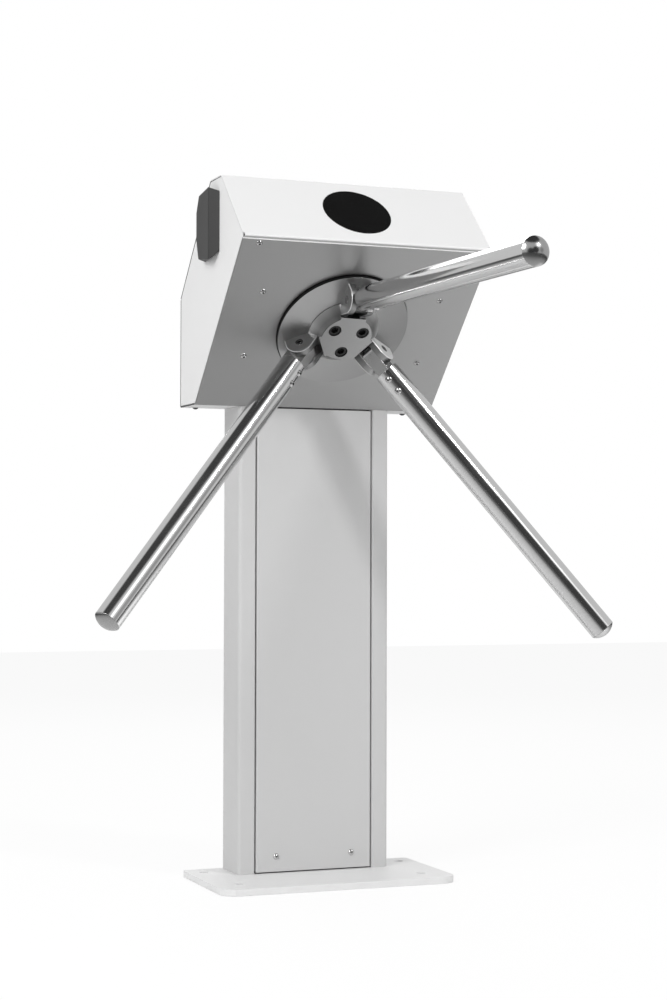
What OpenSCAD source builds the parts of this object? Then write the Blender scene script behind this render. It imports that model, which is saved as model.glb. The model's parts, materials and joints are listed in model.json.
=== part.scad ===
/* [Base plate] */
// Width of the base plate, left to right
base_w = 370; // [320:5:440]
// Distance from the column centre to the front edge of the base plate
base_front = 162; // [130:2:200]
// Thickness of the base plate
base_t = 10; // [8:1:14]
// Corner radius at the front of the base plate
base_front_r = 24; // [10:1:40]
// Corner radius at the back of the base plate
base_rear_r = 6; // [3:1:12]
// Diameter of the four anchor holes
anchor_d = 14; // [11:0.5:18]
// Distance between the two rear anchor holes
rear_anchor_span = 320; // [290:2:330]
// Distance between the two front anchor holes
front_anchor_span = 290; // [250:2:310]
// Rear anchor holes: inset from the rear edge
rear_anchor_inset = 30; // [22:1:40]
// Front anchor holes: inset from the front edge
front_anchor_inset = 48; // [30:1:60]
// Diameter of the cable hole through the base plate
cable_d = 50; // [30:1:60]

/* [Column] */
// Width of the column
column_w = 244; // [220:2:280]
// Depth of the column
column_d = 76; // [72:1:100]
// Thickness of the sheet that the column and the head are bent from
sheet_t = 2; // [1.5:0.1:2.5]
// Outer radius of the column's bends
column_bend_r = 6; // [4:0.5:10]
// Width of the removable service panel
service_w = 186; // [160:2:190]
// Gap round the service panel
panel_gap = 2; // [1:0.5:3]
// Depth of the lips beside the service panel
lip_depth = 14; // [12:1:20]
// Height of the service panel's screws above the base plate
service_screw_h = 25; // [20:1:60]
// Distance between the service panel's two screws
service_screw_span = 122; // [80:2:150]

/* [Head] */
// Height of the head from its underside to its top
head_h = 325; // [315:5:345]
// Overall height of the turnstile
total_h = 1040; // [940:5:1100]
// Width of the head
head_w = 384; // [360:2:420]
// Length of the inclined mechanism face
face_len = 314; // [300:2:330]
// Angle of the mechanism face from the horizontal
face_tilt = 45; // [43:0.5:47]
// Depth of the flat strip on top of the head
top_flat = 50; // [40:1:60]
// Height of the upright rear wall
rear_wall_h = 168; // [150:2:180]
// Radius of the head's bends
head_bend_r = 4; // [3:0.5:6]
// Thickness of the front mechanism panel
panel_t = 3; // [2:0.5:4]
// Seam between sheets that can be taken apart
seam = 0.3; // [0.2:0.1:0.5]
// Diameter of the round reader window
window_d = 103; // [80:1:110]

/* [Rotor] */
// Diameter of the rotating disc
disc_d = 199; // [181:2:203]
// Gap between the disc and the front panel
disc_gap = 1; // [1:0.5:3]
// Height of the hub's face above the front panel
hub_h = 24; // [22:0.5:28]
// Diameter of the hub's face
hub_d = 78; // [72:1:84]
// Distance from the rotor axis to each arm's pin
pivot_r = 67.5; // [67:0.5:70]
// Height of the arm pins above the front panel
pivot_h = 19; // [18.5:0.5:20]
// Diameter of the arm pins
pin_d = 12; // [10:0.5:14]
// Width of the slot between the two ears of a clevis
slot_w = 20; // [16:0.5:22]
// Thickness of one clevis ear
ear_t = 10; // [8:0.5:11]
// Turn of the rotor from the middle at rest
arm_phase = 2.2; // [0:0.1:4]
// Angle between an arm and the rotor axis
arm_cone = 45; // [44:0.5:46]
// Diameter of the main shaft
shaft_d = 30; // [25:1:35]

/* [Arms] */
// Outer diameter of the arm tube
tube_d = 38; // [36:0.5:40]
// Wall of the arm tube
tube_wall = 2; // [1.5:0.25:3]
// Reach of an arm from its pin to the end of its cap
arm_len = 540; // [440:5:580]
// Height of the domed part of the end cap
cap_h = 9; // [6:0.5:14]

/* [Mechanism] */
// Gear module
gear_m = 2.5; // [2.5:0.5:2.5]
// Teeth of the drive gear on the shaft
drive_teeth = 60; // [60:3:60]
// Teeth of the centring gear
centring_teeth = 20; // [20:1:20]
// Face width of the gears
gear_t = 8; // [6:1:9]
// Radius of the index disc
index_r = 62; // [58:1:64]
// Thickness of the mechanism plate
mech_t = 8; // [6:1:10]
// Depth of the mechanism plate's front face behind the front panel
mech_depth = 90; // [88:1:92]

/* [Hidden] */
$fn = 64;

overrun = 1;
run_fit = 0.05;
body_gap = 0.5;
arc_steps = 5;

// Screw sizes: thread diameter, head diameter, head height
m5 = [5, 9.5, 2.8];
m6 = [6, 10.5, 3.3];
m8 = [8, 13, 5.3];
m10 = [10, 17, 6.4];
m12 = [12, 18, 12];
thread_slack = 0.5;
socket_share = 0.5;

// Column, worked out from the sizes above
head_z = total_h - head_h;
rear_y = column_d / 2;
front_y = -column_d / 2;
flange_x = service_w / 2 + panel_gap;
column_inner_x = column_w / 2 - sheet_t;
column_inner_y = rear_y - sheet_t;
lip_y = front_y + lip_depth;
top_plate_t = 8;
bar_t = 3;
bar_h = 40;
bar_lower_z = base_t + service_screw_h;
bar_drop = 60;
bar_upper_z = head_z - bar_drop;
boss_d = 12;
service_foot = 2;
hook_w = 24;
hook_x = 45;
hook_drop = 16;

// Control board on the back wall of the column
board_w = 150;
board_h = 210;
board_t = 1.6;
board_z = 430;
standoff_d = 8;
standoff_h = 12;
standoff_inset = 8;
relay = [18, 15, 24];
block = [110, 11, 13];
can = [16, 20];

// Head outline in the Y and Z plane, anticlockwise from the lower front corner
p3 = [front_y, head_z];
p2 = p3 + face_len * [-cos(face_tilt), sin(face_tilt)];
top_rise = total_h - p2[1];
top_tilt = 45;
p1 = p2 + [top_rise / tan(top_tilt), top_rise];
p6 = p1 + [top_flat, 0];
p5 = [rear_y, head_z + rear_wall_h];
p4 = [rear_y, head_z];
nose = 5;
nose_lap = 14;
nose_corner = p2 + panel_t / sin(face_tilt + top_tilt) * [cos(top_tilt), sin(top_tilt)];
relief_gap = 1;
relief_depth = 5.5;
rim_gap = 0.9;
hub_yz = (p2 + p3) / 2;
slope = atan2(p6[1] - p5[1], p5[0] - p6[0]);
side_x = head_w / 2;
inner_x = side_x - sheet_t;
panel_top = face_len / 2 - nose;
panel_screw_inset = 52.5;
panel_screw_x = side_x - panel_screw_inset;
panel_screw_e = 60;
panel_corner_inset = 26;
panel_corner_x = side_x - panel_corner_inset;
panel_corner_e = 145;
panel_screw_l = 12;
frame_edge = 4;
frame_hole_gap = 4;
tray_flange = 20;
side_foot_w = 30;
tray_screw_inset = 20;
tray_screw_x = side_x - tray_screw_inset;
tray_screw_y = 24;
window_t = 2;
window_lip = 5;
window_lip_t = 2.5;
window_along = 75;
window_gap = 0.3;

// Indicator hoods: height above the wall, and outline as places on the side wall
hood_h = 13;
hood_set = 44;
hood_y = p1[0] + hood_set;
hood_rise = 35;
hood_z = p2[1] + hood_rise;
hood_w = 57;
hood_tall = 106;
hood_face_share = [[0.42, 0.5], [-0.37, 0.44], [-0.58, 0.22], [-0.58, -0.16], [-0.4, -0.44], [0.42, -0.5]];
hood_base_share = [[0.68, 0.43], [-0.5, 0.47], [-0.72, 0.24], [-0.72, -0.18], [-0.5, -0.47], [0.68, -0.4]];
hood_skin = 0.6;

// Cover lock
lock_along = 40;
lock_d = 20;
lock_rim_d = 25;
lock_rim_t = 2;
lock_len = 24;
barrel_d = 13;
keyway = [2.2, 7.5, 4];
cam_w = 13;
cam_l = 38;
cam_t = 2.5;
cam_z = -(2 * sheet_t + 2 * seam + body_gap + cam_t);

// Rotor along its axis, measured from the front panel, minus is inwards
disc_face = 6;
disc_back = -4;
hub_foot_r = 54;
hub_edge = 1.5;
ear_r = 20;
hub_flat = 38;
ear_root_r = hub_flat - 4;
ear_steps = 18;
flange_d = 78;
flange_back = -18;
shoulder_d = 36;
bearing_d = 62;
bearing_w = 16;
front_bearing_z = -24;
spigot_h = 8;
mech_front = -mech_depth;
mech_back = mech_front - mech_t;
rear_bearing_z = mech_back + bearing_w;
housing_d = 80;
housing_front = front_bearing_z + 2;
housing_flange_d = 130;
housing_flange_t = 10;
housing_bolt_r = 55;
housing_bore_d = 54;
gear_front = mech_back - 6;
gear_back = gear_front - gear_t;
gear_boss_d = 44;
index_front = gear_back - 2;
index_back = index_front - gear_t;
nut_t = 10;
thread_d = shaft_d - 6;
shaft_end = index_back - nut_t - 4;
key_w = 8;
key_h = 7;
cap_screw_r = 25.5;
counterbore_d = m12[1] + 1.5;
counterbore = m12[2] + 1.5;
tube_start = 27.5;
tongue_w = slot_w - 0.6;
tongue_r = tube_d / 2 - 2.5;
plug_l = 58;
cap_plug_l = 14;
arm_screw_s = [13, 35];
seat_depth = 0.6;

// Mechanism places on its plate: X across, Y up the inclined face
mech_w = 300;
mech_top = 124;
mech_bottom = -118;
mech_r = 10;
gear_centre = gear_m * (drive_teeth + centring_teeth) / 2;
centring_at = [0, -gear_centre];
centring_shaft_d = 12;
damper_d = 50;
damper_h = 28;
crank_r = 16;
crank_d = 6;
anchor_at = [84, -gear_centre];
notch_w = 14;
notch_d = 7;
notch_angle = 210;
pawl_pivot = [92, 15];
pawl_tail_y = 100;
pawl_w = 13;
pawl_pin_d = 10;
pawl_elbow_r = 80;
pawl_boss_d = 22;
solenoid_x = 14;
solenoid_l = 50;
solenoid_w = 30;
plunger_d = 12;
plunger_z = (index_front + index_back) / 2;
solenoid_h = 2 * (mech_back - plunger_z);
plunger_in = 30;
link_d = 4;
link_slot = 7;
link_gap = 0.3;
pin_back = index_back - 4;
spring_z = index_back + 1;
spring_wire = 2;
spring_d = 13;
spring_turns = 12;
spring_turn_rings = 8;
spring_sides = 6;
spring_tail = 5;
spring_hook_angles = [120:-30:-150];
spring_hook_r = pawl_pin_d / 2 + 2 * seam + spring_wire / 2;
spring_ends = [crank_r + crank_d / 2 + seam, anchor_at[0] - spring_hook_r];
web_t = 6;
web_x = 110;
web_flange = 26;
web_foot = 40;
web_low = mech_bottom + 4;
web_high = 62;
web_front = 4;
web_bolt_e = [-100, -25, 45];
foot_bolt_inset = 12;
foot_bolt_x = web_x - web_foot + foot_bolt_inset;
foot_bolt_y = 18;

// Gear teeth
pressure = 20;
backlash = 0.25;
addendum_share = 1;
dedendum_share = 1.25;

function polar(r, a) = r * [cos(a), sin(a)];
function unit(v) = v / norm(v);
function normal(a, b) = let (u = unit(b - a)) [-u[1], u[0]];
function reversed(p) = [for (i = [len(p) - 1:-1:0]) p[i]];

// Where two edges meet after the first moves in by d1 and the second by d2
function corner(b, n1, n2, d1, d2) =
    let (c = n1 * n2) b + (n1 * (d1 - d2 * c) + n2 * (d2 - d1 * c)) / (1 - c * c);

// A closed outline moved inwards, each edge by its own distance
function inset(p, d) = let (n = len(p)) [
    for (i = [0:n - 1])
        let (a = p[(i + n - 1) % n], b = p[i], c = p[(i + 1) % n])
            corner(b, normal(a, b), normal(b, c), d[(i + n - 1) % n], d[i])
];

// An open path moved to its left by d
function shifted(p, d) = let (n = len(p)) [
    for (i = [0:n - 1])
        i == 0 ? p[0] + d * normal(p[0], p[1])
        : i == n - 1 ? p[i] + d * normal(p[i - 1], p[i])
        : corner(p[i], normal(p[i - 1], p[i]), normal(p[i], p[i + 1]), d, d)
];

// Points of the arc that rounds the corner b between a and c
function rounding(a, b, c, r) =
    let (
        u = unit(a - b),
        v = unit(c - b),
        half = acos(u * v) / 2,
        centre = b + unit(u + v) * r / sin(half),
        d0 = (b + u * r / tan(half) - centre) / r,
        d1 = (b + v * r / tan(half) - centre) / r
    ) r <= 0 ? [b] : [for (i = [0:arc_steps]) centre + r * unit(d0 * (arc_steps - i) + d1 * i)];

// A closed outline with rounded corners, one radius each
function rounded(p, r) = let (n = len(p)) [
    for (i = [0:n - 1]) each rounding(p[(i + n - 1) % n], p[i], p[(i + 1) % n], r[i])
];

// An open path with rounded bends, one radius each, its ends kept
function bent(p, r) = let (n = len(p)) [
    p[0],
    for (i = [1:n - 2]) each rounding(p[i - 1], p[i], p[i + 1], r[i - 1]),
    p[n - 1]
];

// The section of a bent sheet whose outer face follows a path
function sheet_section(p, t, r) =
    concat(bent(p, r), reversed(bent(shifted(p, t), [for (x = r) x - t])));

function repeat(x, n) = [for (i = [1:n]) x];

// A lever's outline: a path given a width
function lever(p, w, r) =
    let (q = concat(shifted(p, -w / 2), reversed(shifted(p, w / 2)))) rounded(q, repeat(r, len(q)));

// Involute of a circle, as an angle in degrees at radius r from base radius rb
function involute(rb, r) = let (a = acos(min(1, rb / r))) tan(a) * 180 / PI - a;

// Half of a tooth's angle at radius r
function tooth_half(n, r) =
    let (rp = gear_m * n / 2, rb = rp * cos(pressure))
        90 / n - backlash / (2 * rp) * 180 / PI
        + involute(rb, rp) - involute(rb, max(r, rb));

// Outline of a spur gear with a tooth on the X axis
function gear_outline(n) =
    let (
        rp = gear_m * n / 2,
        root = rp - dedendum_share * gear_m,
        tip = rp + addendum_share * gear_m,
        steps = 3,
        radii = [for (i = [0:steps]) root + (tip - root) * i / steps]
    ) [
        for (k = [0:n - 1]) each concat(
            [for (r = radii) polar(r, 360 * k / n - tooth_half(n, r))],
            [for (r = reversed(radii)) polar(r, 360 * k / n + tooth_half(n, r))]
        )
    ];

head_outline = [p3, p4, p5, p6, p1, p2];

module along_x(points, x0, x1) {
    translate([x0, 0, 0])
        rotate([90, 0, 90])
            linear_extrude(x1 - x0)
                polygon(points);
}

module flat(points, z0, z1) {
    translate([0, 0, z0])
        linear_extrude(z1 - z0)
            polygon(points);
}

module rod(d, z0, z1) {
    translate([0, 0, z0])
        cylinder(d = d, h = z1 - z0);
}

module slab(x, y, z) {
    translate([x[0], y[0], z[0]])
        cube([x[1] - x[0], y[1] - y[0], z[1] - z[0]]);
}

// Frame of the mechanism face: X across, Y up the face, Z outwards
module at_mech() {
    translate([0, hub_yz[0], hub_yz[1]])
        rotate([180 - face_tilt, 0, 0])
            children();
}

// Frame of the upper front face, at the middle of the reader window
module at_window() {
    translate([0, p2[0] + window_along * cos(top_tilt), p2[1] + window_along * sin(top_tilt)])
        rotate([top_tilt, 0, 0])
            children();
}

// Frame of the rear slope, at the cover lock: Y down the slope, Z outwards
module at_lock() {
    translate([0, p5[0] - lock_along * cos(slope), p5[1] + lock_along * sin(slope)])
        rotate([-slope, 0, 0])
            children();
}

// Frame of one arm at its pin: X along the pin, Z along the arm
module at_arm(k) {
    at_mech()
        rotate([0, 0, -(arm_phase + 120 * k)])
            translate([0, pivot_r, pivot_h])
                rotate([-arm_cone, 0, 0])
                    children();
}

module on_rotor() {
    at_mech()
        for (k = [0:2])
            rotate([0, 0, -(arm_phase + 120 * k)])
                children();
}

module mirrored(left) {
    mirror([left ? 1 : 0, 0, 0])
        children();
}

// A screw with its head standing on z = 0, its shank going down
module screw(size, length, head_sides = 64, round_head = false) {
    difference() {
        union() {
            if (round_head)
                rotate_extrude()
                    intersection() {
                        translate([0, size[2] - size[1] / 2 * 1.15])
                            circle(r = size[1] / 2 * 1.15);
                        square([size[1] / 2, size[2]]);
                    }
            else
                cylinder(d = size[1], h = size[2], $fn = head_sides);
            rod(size[0], -length, 0);
        }
        if (head_sides > 12)
            translate([0, 0, size[2] / 2])
                cylinder(d = size[0] * socket_share * 1.15, h = size[2], $fn = 6);
    }
}

module base_plate() {
    outline = [
        [base_w / 2, -base_front], [base_w / 2, rear_y],
        [-base_w / 2, rear_y], [-base_w / 2, -base_front]
    ];
    radii = [base_front_r, base_rear_r, base_rear_r, base_front_r];
    color("whitesmoke")
        difference() {
            flat(rounded(outline, radii), 0, base_t);
            for (side = [-1, 1]) {
                translate([side * rear_anchor_span / 2, rear_y - rear_anchor_inset, 0])
                    rod(anchor_d, -overrun, base_t + overrun);
                translate([side * front_anchor_span / 2, front_anchor_inset - base_front, 0])
                    rod(anchor_d, -overrun, base_t + overrun);
            }
            rod(cable_d, -overrun, base_t + overrun);
        }
}

module column_shell() {
    path = [
        [flange_x, lip_y], [flange_x, front_y], [column_w / 2, front_y], [column_w / 2, rear_y],
        [-column_w / 2, rear_y], [-column_w / 2, front_y], [-flange_x, front_y], [-flange_x, lip_y]
    ];
    small = sheet_t * 1.5;
    radii = [small, column_bend_r, column_bend_r, column_bend_r, column_bend_r, small];
    color("gainsboro")
        flat(sheet_section(path, sheet_t, radii), base_t, head_z);
}

module column_top_plate() {
    cut = column_bend_r;
    x = column_inner_x;
    outline = [
        [x - cut, -column_inner_y], [x, cut - column_inner_y], [x, column_inner_y - cut],
        [x - cut, column_inner_y], [cut - x, column_inner_y], [-x, column_inner_y - cut],
        [-x, cut - column_inner_y], [cut - x, -column_inner_y]
    ];
    lip_middle = (flange_x + service_w / 2) / 2;
    lip_reach = panel_gap / 2 + sheet_t + body_gap;
    color("silver")
        difference() {
            flat(outline, head_z - top_plate_t, head_z);
            rod(cable_d, head_z - top_plate_t - overrun, head_z + overrun);
            foot_bolt_places()
                rod(m10[0] + thread_slack, head_z - top_plate_t - overrun, head_z + overrun);
            for (side = [-1, 1])
                slab([side * lip_middle - lip_reach, side * lip_middle + lip_reach],
                    [front_y, lip_y + seam], [head_z - top_plate_t - overrun, head_z + overrun]);
            slab([-flange_x, flange_x], [front_y, front_y + sheet_t + body_gap],
                [head_z - top_plate_t - overrun, head_z + overrun]);
        }
}

module foot_bolt_places() {
    for (side = [-1, 1], y = [-foot_bolt_y, foot_bolt_y])
        translate([side * foot_bolt_x, y, 0])
            children();
}

module column_cross_bars() {
    color("silver") {
        difference() {
            union() {
                slab([-flange_x - sheet_t, flange_x + sheet_t], [lip_y, lip_y + bar_t],
                    [bar_lower_z - bar_h / 2, bar_lower_z + bar_h / 2]);
                service_screw_places()
                    rod(boss_d, -(lip_depth + overrun), -sheet_t);
            }
            service_screw_places()
                rod(m5[0], -(lip_depth + bar_t + overrun), overrun);
        }
        slab([-flange_x - sheet_t, flange_x + sheet_t], [lip_y, lip_y + bar_t],
            [bar_upper_z - bar_h / 2, bar_upper_z]);
    }
}

// The two screws of the service panel, Z pointing out of the front
module service_screw_places() {
    for (side = [-1, 1])
        translate([side * service_screw_span / 2, front_y, base_t + service_screw_h])
            rotate([90, 0, 0])
                children();
}

module service_panel() {
    path = [
        [-service_w / 2, lip_y - panel_gap], [-service_w / 2, front_y],
        [service_w / 2, front_y], [service_w / 2, lip_y - panel_gap]
    ];
    color("gainsboro")
        difference() {
            union() {
                flat(sheet_section(path, sheet_t, repeat(sheet_t * 1.25, 2)), base_t + service_foot, head_z - service_foot);
                for (side = [-1, 1]) {
                    x = [side * hook_x - hook_w / 2, side * hook_x + hook_w / 2];
                    back = lip_y + bar_t + seam;
                    slab(x, [front_y + sheet_t, back + sheet_t], [bar_upper_z + seam, bar_upper_z + seam + sheet_t]);
                    slab(x, [back, back + sheet_t], [bar_upper_z - hook_drop, bar_upper_z + seam + sheet_t]);
                }
            }
            service_screw_places()
                rod(m5[0] + thread_slack, -sheet_t - overrun, overrun);
        }
}

module service_panel_screws() {
    color("dimgray")
        service_screw_places()
            screw(m5, lip_depth, round_head = true);
}

module board_corners() {
    for (x = [-1, 1], z = [-1, 1])
        translate([x * (board_w / 2 - standoff_inset), column_inner_y, board_z + z * (board_h / 2 - standoff_inset)])
            rotate([90, 0, 0])
                children();
}

module control_board() {
    y = column_inner_y - standoff_h;
    color("seagreen")
        difference() {
            slab([-board_w / 2, board_w / 2], [y - board_t, y], [board_z - board_h / 2, board_z + board_h / 2]);
            board_corners()
                rod(standoff_d / 2, standoff_h - overrun, standoff_h + board_t + overrun);
        }
}

// Standoffs, relays, capacitors and terminal blocks of the control board
module board_parts() {
    face = column_inner_y - standoff_h - board_t;
    color("darkslategray") {
        board_corners() {
            rod(standoff_d, 0, standoff_h);
            rod(standoff_d / 2, 0, standoff_h + board_t + sheet_t);
        }
        for (i = [0:3])
            slab([relay[0] * 1.4 * (i - 2), relay[0] * (1.4 * (i - 2) + 1)], [face - relay[1], face],
                [board_z, board_z + relay[2]]);
        for (z = [board_z - board_h / 2 + block[2] * 1.5, board_z + board_h / 2 - block[2] * 2.5])
            slab([-block[0] / 2, block[0] / 2], [face - block[1], face], [z, z + block[2]]);
        for (x = [-1, 1])
            translate([x * can[0] * 1.5, face, board_z - board_h / 5])
                rotate([90, 0, 0])
                    rod(can[0], 0, can[1]);
    }
}

module tray_holes(d) {
    foot_bolt_places()
        rod(m10[0] + thread_slack, head_z - overrun, head_z + sheet_t + overrun);
    tray_screw_places()
        rod(d, head_z - overrun, head_z + sheet_t + overrun);
    rod(cable_d, head_z - overrun, head_z + sheet_t + overrun);
}

module tray_screw_places() {
    for (side = [-1, 1])
        translate([side * tray_screw_x, tray_screw_y, 0])
            children();
}

module head_tray() {
    down_slope = [cos(slope), -sin(slope)];
    under = sheet_t + seam;
    tray_start = p3 + [(panel_t + seam) / sin(face_tilt), 0];
    tray_top = p5 - [0, under / cos(slope)];
    path = [tray_start, p4, tray_top, tray_top - tray_flange * down_slope];
    color("whitesmoke")
        difference() {
            along_x(sheet_section(path, sheet_t, [head_bend_r, sheet_t * 1.25]), -side_x, side_x);
            for (side = [-1, 1])
                translate([side * side_x, 0, 0])
                    slab([-sheet_t - body_gap, sheet_t + body_gap],
                        [p5[0] - 2 * tray_flange, p5[0] - sheet_t - seam],
                        [p5[1] - tray_flange / 2, total_h]);
            tray_holes(m5[0] + thread_slack);
        }
}

// Outline of the side panels, inside the sheets that wrap over their edges
side_blank = inset(head_outline, [
    sheet_t + rim_gap, sheet_t + rim_gap, sheet_t + rim_gap, sheet_t + rim_gap, sheet_t + seam, panel_t + rim_gap
]);
side_corner = 4;
side_outline = [
    for (i = [0:4]) side_blank[i],
    side_blank[5] + side_corner * unit(side_blank[4] - side_blank[5]),
    side_blank[5] + side_corner * unit(side_blank[0] - side_blank[5])
];

// Side panel with the inward foot that the tray is screwed to
module side_panel(left) {
    foot_top = head_z + sheet_t + seam;
    color("whitesmoke")
        mirrored(left)
            difference() {
                union() {
                    along_x(side_outline, inner_x, side_x);
                    slab([inner_x - side_foot_w, inner_x + sheet_t / 2],
                        [side_outline[0][0] + sheet_t, side_outline[1][0] - sheet_t],
                        [foot_top, foot_top + sheet_t]);
                }
                tray_screw_places()
                    rod(m5[0], foot_top - overrun, foot_top + sheet_t + overrun);
            }
}

module tray_screws() {
    color("dimgray")
        tray_screw_places()
            translate([0, 0, head_z])
                rotate([180, 0, 0])
                    screw(m5, 3 * sheet_t, round_head = true);
}

module top_cover() {
    path = [p5, p6, p1, nose_corner, nose_corner + (nose + nose_lap) * [cos(face_tilt), -sin(face_tilt)]];
    radii = [head_bend_r, head_bend_r, sheet_t * 1.5];
    color("whitesmoke")
        difference() {
            along_x(sheet_section(path, sheet_t, radii), -side_x, side_x);
            at_window()
                rod(window_d + 2 * window_gap, -3 * sheet_t, sheet_t);
            at_lock()
                rod(lock_d + window_gap, -3 * sheet_t, sheet_t);
            at_mech() {
                panel_screw_places()
                    rod(m5[0], -panel_t - sheet_t - overrun, overrun);
                for (side = [-1, 1])
                    translate([side * (side_x - sheet_t / 2), 0, 0])
                        slab([-sheet_t / 2 - relief_gap, sheet_t / 2 + relief_gap],
                            [panel_top - nose_lap - overrun, face_len / 2 + overrun],
                            [-panel_t - relief_depth, overrun]);
            }
        }
}

module front_frame() {
    color("lightgray")
        at_mech()
            difference() {
                slab([-inner_x, inner_x], [frame_edge * 2 - face_len / 2, panel_top - nose_lap - seam],
                    [-panel_t - sheet_t, -panel_t]);
                rod(disc_d + 2 * (disc_gap + frame_hole_gap), -panel_t - sheet_t - overrun, overrun);
                panel_screw_places()
                    rod(m5[0], -panel_t - sheet_t - overrun, overrun);
            }
}

module panel_screw_places() {
    for (side = [-1, 1]) {
        for (e = [-panel_screw_e, panel_screw_e])
            translate([side * panel_screw_x, e, 0])
                children();
        translate([side * panel_corner_x, panel_corner_e, 0])
            children();
    }
}

module front_panel() {
    color("darkgray")
        at_mech()
            difference() {
                slab([-side_x, side_x], [-face_len / 2, panel_top], [-panel_t, 0]);
                rod(disc_d + 2 * disc_gap, -panel_t - overrun, overrun);
                panel_screw_places()
                    rod(m5[0] + thread_slack, -panel_t - overrun, overrun);
            }
}

module front_panel_screws() {
    color("silver")
        at_mech()
            panel_screw_places()
                screw(m5, panel_screw_l, round_head = true);
}

module head_bolts() {
    grip = web_t + sheet_t + top_plate_t;
    color("dimgray")
        foot_bolt_places()
            translate([0, 0, head_z + sheet_t + web_t]) {
                screw(m10, grip + m10[2] + sheet_t, head_sides = 6);
                translate([0, 0, -grip - m10[2]])
                    cylinder(d = m10[1], h = m10[2], $fn = 6);
            }
}

// Faceted hood of one passage indicator, flat against the side wall
module indicator(left) {
    function places(share) = [for (s = share) [hood_y - s[0] * hood_w, hood_z + s[1] * hood_tall]];
    color("black")
        mirrored(left)
            hull() {
                along_x(places(hood_base_share), side_x, side_x + hood_skin);
                along_x(places(hood_face_share), side_x + hood_h - hood_skin, side_x + hood_h);
            }
}

module reader_window() {
    color("black")
        at_window() {
            rod(window_d, -sheet_t - window_lip_t, 0);
            rod(window_d + 2 * window_lip, -sheet_t - window_lip_t, -sheet_t);
        }
}

module lock_body() {
    color("silver")
        at_lock()
            difference() {
                union() {
                    rod(lock_d, cam_z + cam_t + body_gap, lock_rim_t);
                    rod(lock_rim_d, 0, lock_rim_t);
                }
                rod(barrel_d + 2 * run_fit, cam_z, lock_rim_t + overrun);
            }
}

// Key barrel and the cam that reaches under the tray's flange
module lock_barrel() {
    color("gold")
        at_lock()
            difference() {
                union() {
                    rod(barrel_d, cam_z, lock_rim_t);
                    translate([-cam_w / 2, -cam_w / 2, cam_z])
                        cube([cam_w, cam_l, cam_t]);
                    rod(cam_w, cam_z - cam_t, cam_z + cam_t);
                }
                translate([0, 0, lock_rim_t])
                    cube([keyway[0], keyway[1], 2 * keyway[2]], center = true);
            }
}

function on_face(e, z) = hub_yz + e * [-cos(face_tilt), sin(face_tilt)] - z * [sin(face_tilt), cos(face_tilt)];

// Upright web that carries the mechanism plate on the column
module mechanism_frame(left) {
    foot_z = head_z + sheet_t;
    web = [
        [web_front - column_inner_y, foot_z], [column_inner_y - web_front, foot_z],
        [column_inner_y - web_front, foot_z + web_flange],
        on_face(web_low, mech_front), on_face(web_high, mech_front),
        on_face(web_high, mech_front + web_flange)
    ];
    color("slategray")
        mirrored(left)
            difference() {
                union() {
                    along_x(web, web_x, web_x + web_t);
                    slab([web_x - web_foot, web_x + web_t / 2],
                        [web_front - column_inner_y, column_inner_y - web_front], [foot_z, foot_z + web_t]);
                    at_mech()
                        slab([web_x + web_t / 2, web_x + web_t + web_flange], [web_low, web_high],
                            [mech_front, mech_front + web_t]);
                }
                foot_bolt_places()
                    rod(m10[0] + thread_slack, foot_z - overrun, foot_z + web_t + overrun);
                at_mech()
                    web_bolt_places()
                        rod(m8[0] + thread_slack, mech_front - overrun, mech_front + web_t + overrun);
            }
}

module web_bolt_places() {
    for (side = [-1, 1], e = web_bolt_e)
        translate([side * (web_x + web_t + web_flange / 2), e, 0])
            children();
}

module housing_bolt_places() {
    for (a = [45:90:315])
        rotate([0, 0, a])
            translate([housing_bolt_r, 0, 0])
                children();
}

module mechanism_plate() {
    x = mech_w / 2;
    outline = [[-x, mech_bottom], [x, mech_bottom], [x, mech_top], [-x, mech_top]];
    color("slategray")
        at_mech()
            difference() {
                flat(rounded(outline, repeat(mech_r, 4)), mech_back, mech_front);
                rod(housing_d, mech_back - overrun, mech_front + overrun);
                web_bolt_places()
                    rod(m8[0] + thread_slack, mech_back - overrun, mech_front + overrun);
                housing_bolt_places()
                    rod(m8[0], mech_back - overrun, mech_front + overrun);
                translate(centring_at)
                    rod(centring_shaft_d + 2, mech_back - overrun, mech_front + overrun);
                pin_places()
                    rod(pawl_pin_d, mech_back - overrun, mech_front + overrun);
            }
}

module pin_places() {
    for (side = [-1, 1])
        translate([side * pawl_pivot[0], pawl_pivot[1], 0])
            children();
    translate(anchor_at)
        children();
}

// Pivot pins of the pawls and the spring's anchor post, pressed into the plate
module mechanism_pins() {
    color("silver")
        at_mech()
            pin_places()
                difference() {
                    rod(pawl_pin_d, pin_back, mech_front);
                    rod(pawl_pin_d / 3, pin_back - overrun, index_back);
                }
}

// Bolts of the two side webs with their nuts, and of the bearing housing
module mechanism_bolts() {
    grip = web_t + mech_t;
    color("dimgray")
        at_mech() {
            web_bolt_places()
                translate([0, 0, mech_front + web_t]) {
                    screw(m8, grip + m8[2] + sheet_t, head_sides = 6);
                    translate([0, 0, -grip - m8[2]])
                        cylinder(d = m8[1], h = m8[2], $fn = 6);
                }
            housing_bolt_places()
                translate([0, 0, mech_front + housing_flange_t])
                    screw(m8, housing_flange_t + mech_t, head_sides = 6);
        }
}

module bearing_housing() {
    color("darkgray")
        at_mech()
            difference() {
                union() {
                    rod(housing_d, mech_back, housing_front);
                    rod(housing_flange_d, mech_front, mech_front + housing_flange_t);
                }
                rod(bearing_d, front_bearing_z - bearing_w, housing_front + overrun);
                rod(bearing_d, mech_back - overrun, rear_bearing_z);
                rod(housing_bore_d, mech_back - overrun, housing_front + overrun);
                housing_bolt_places()
                    rod(m8[0] + thread_slack, mech_front - overrun, mech_front + housing_flange_t + overrun);
            }
}

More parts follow.
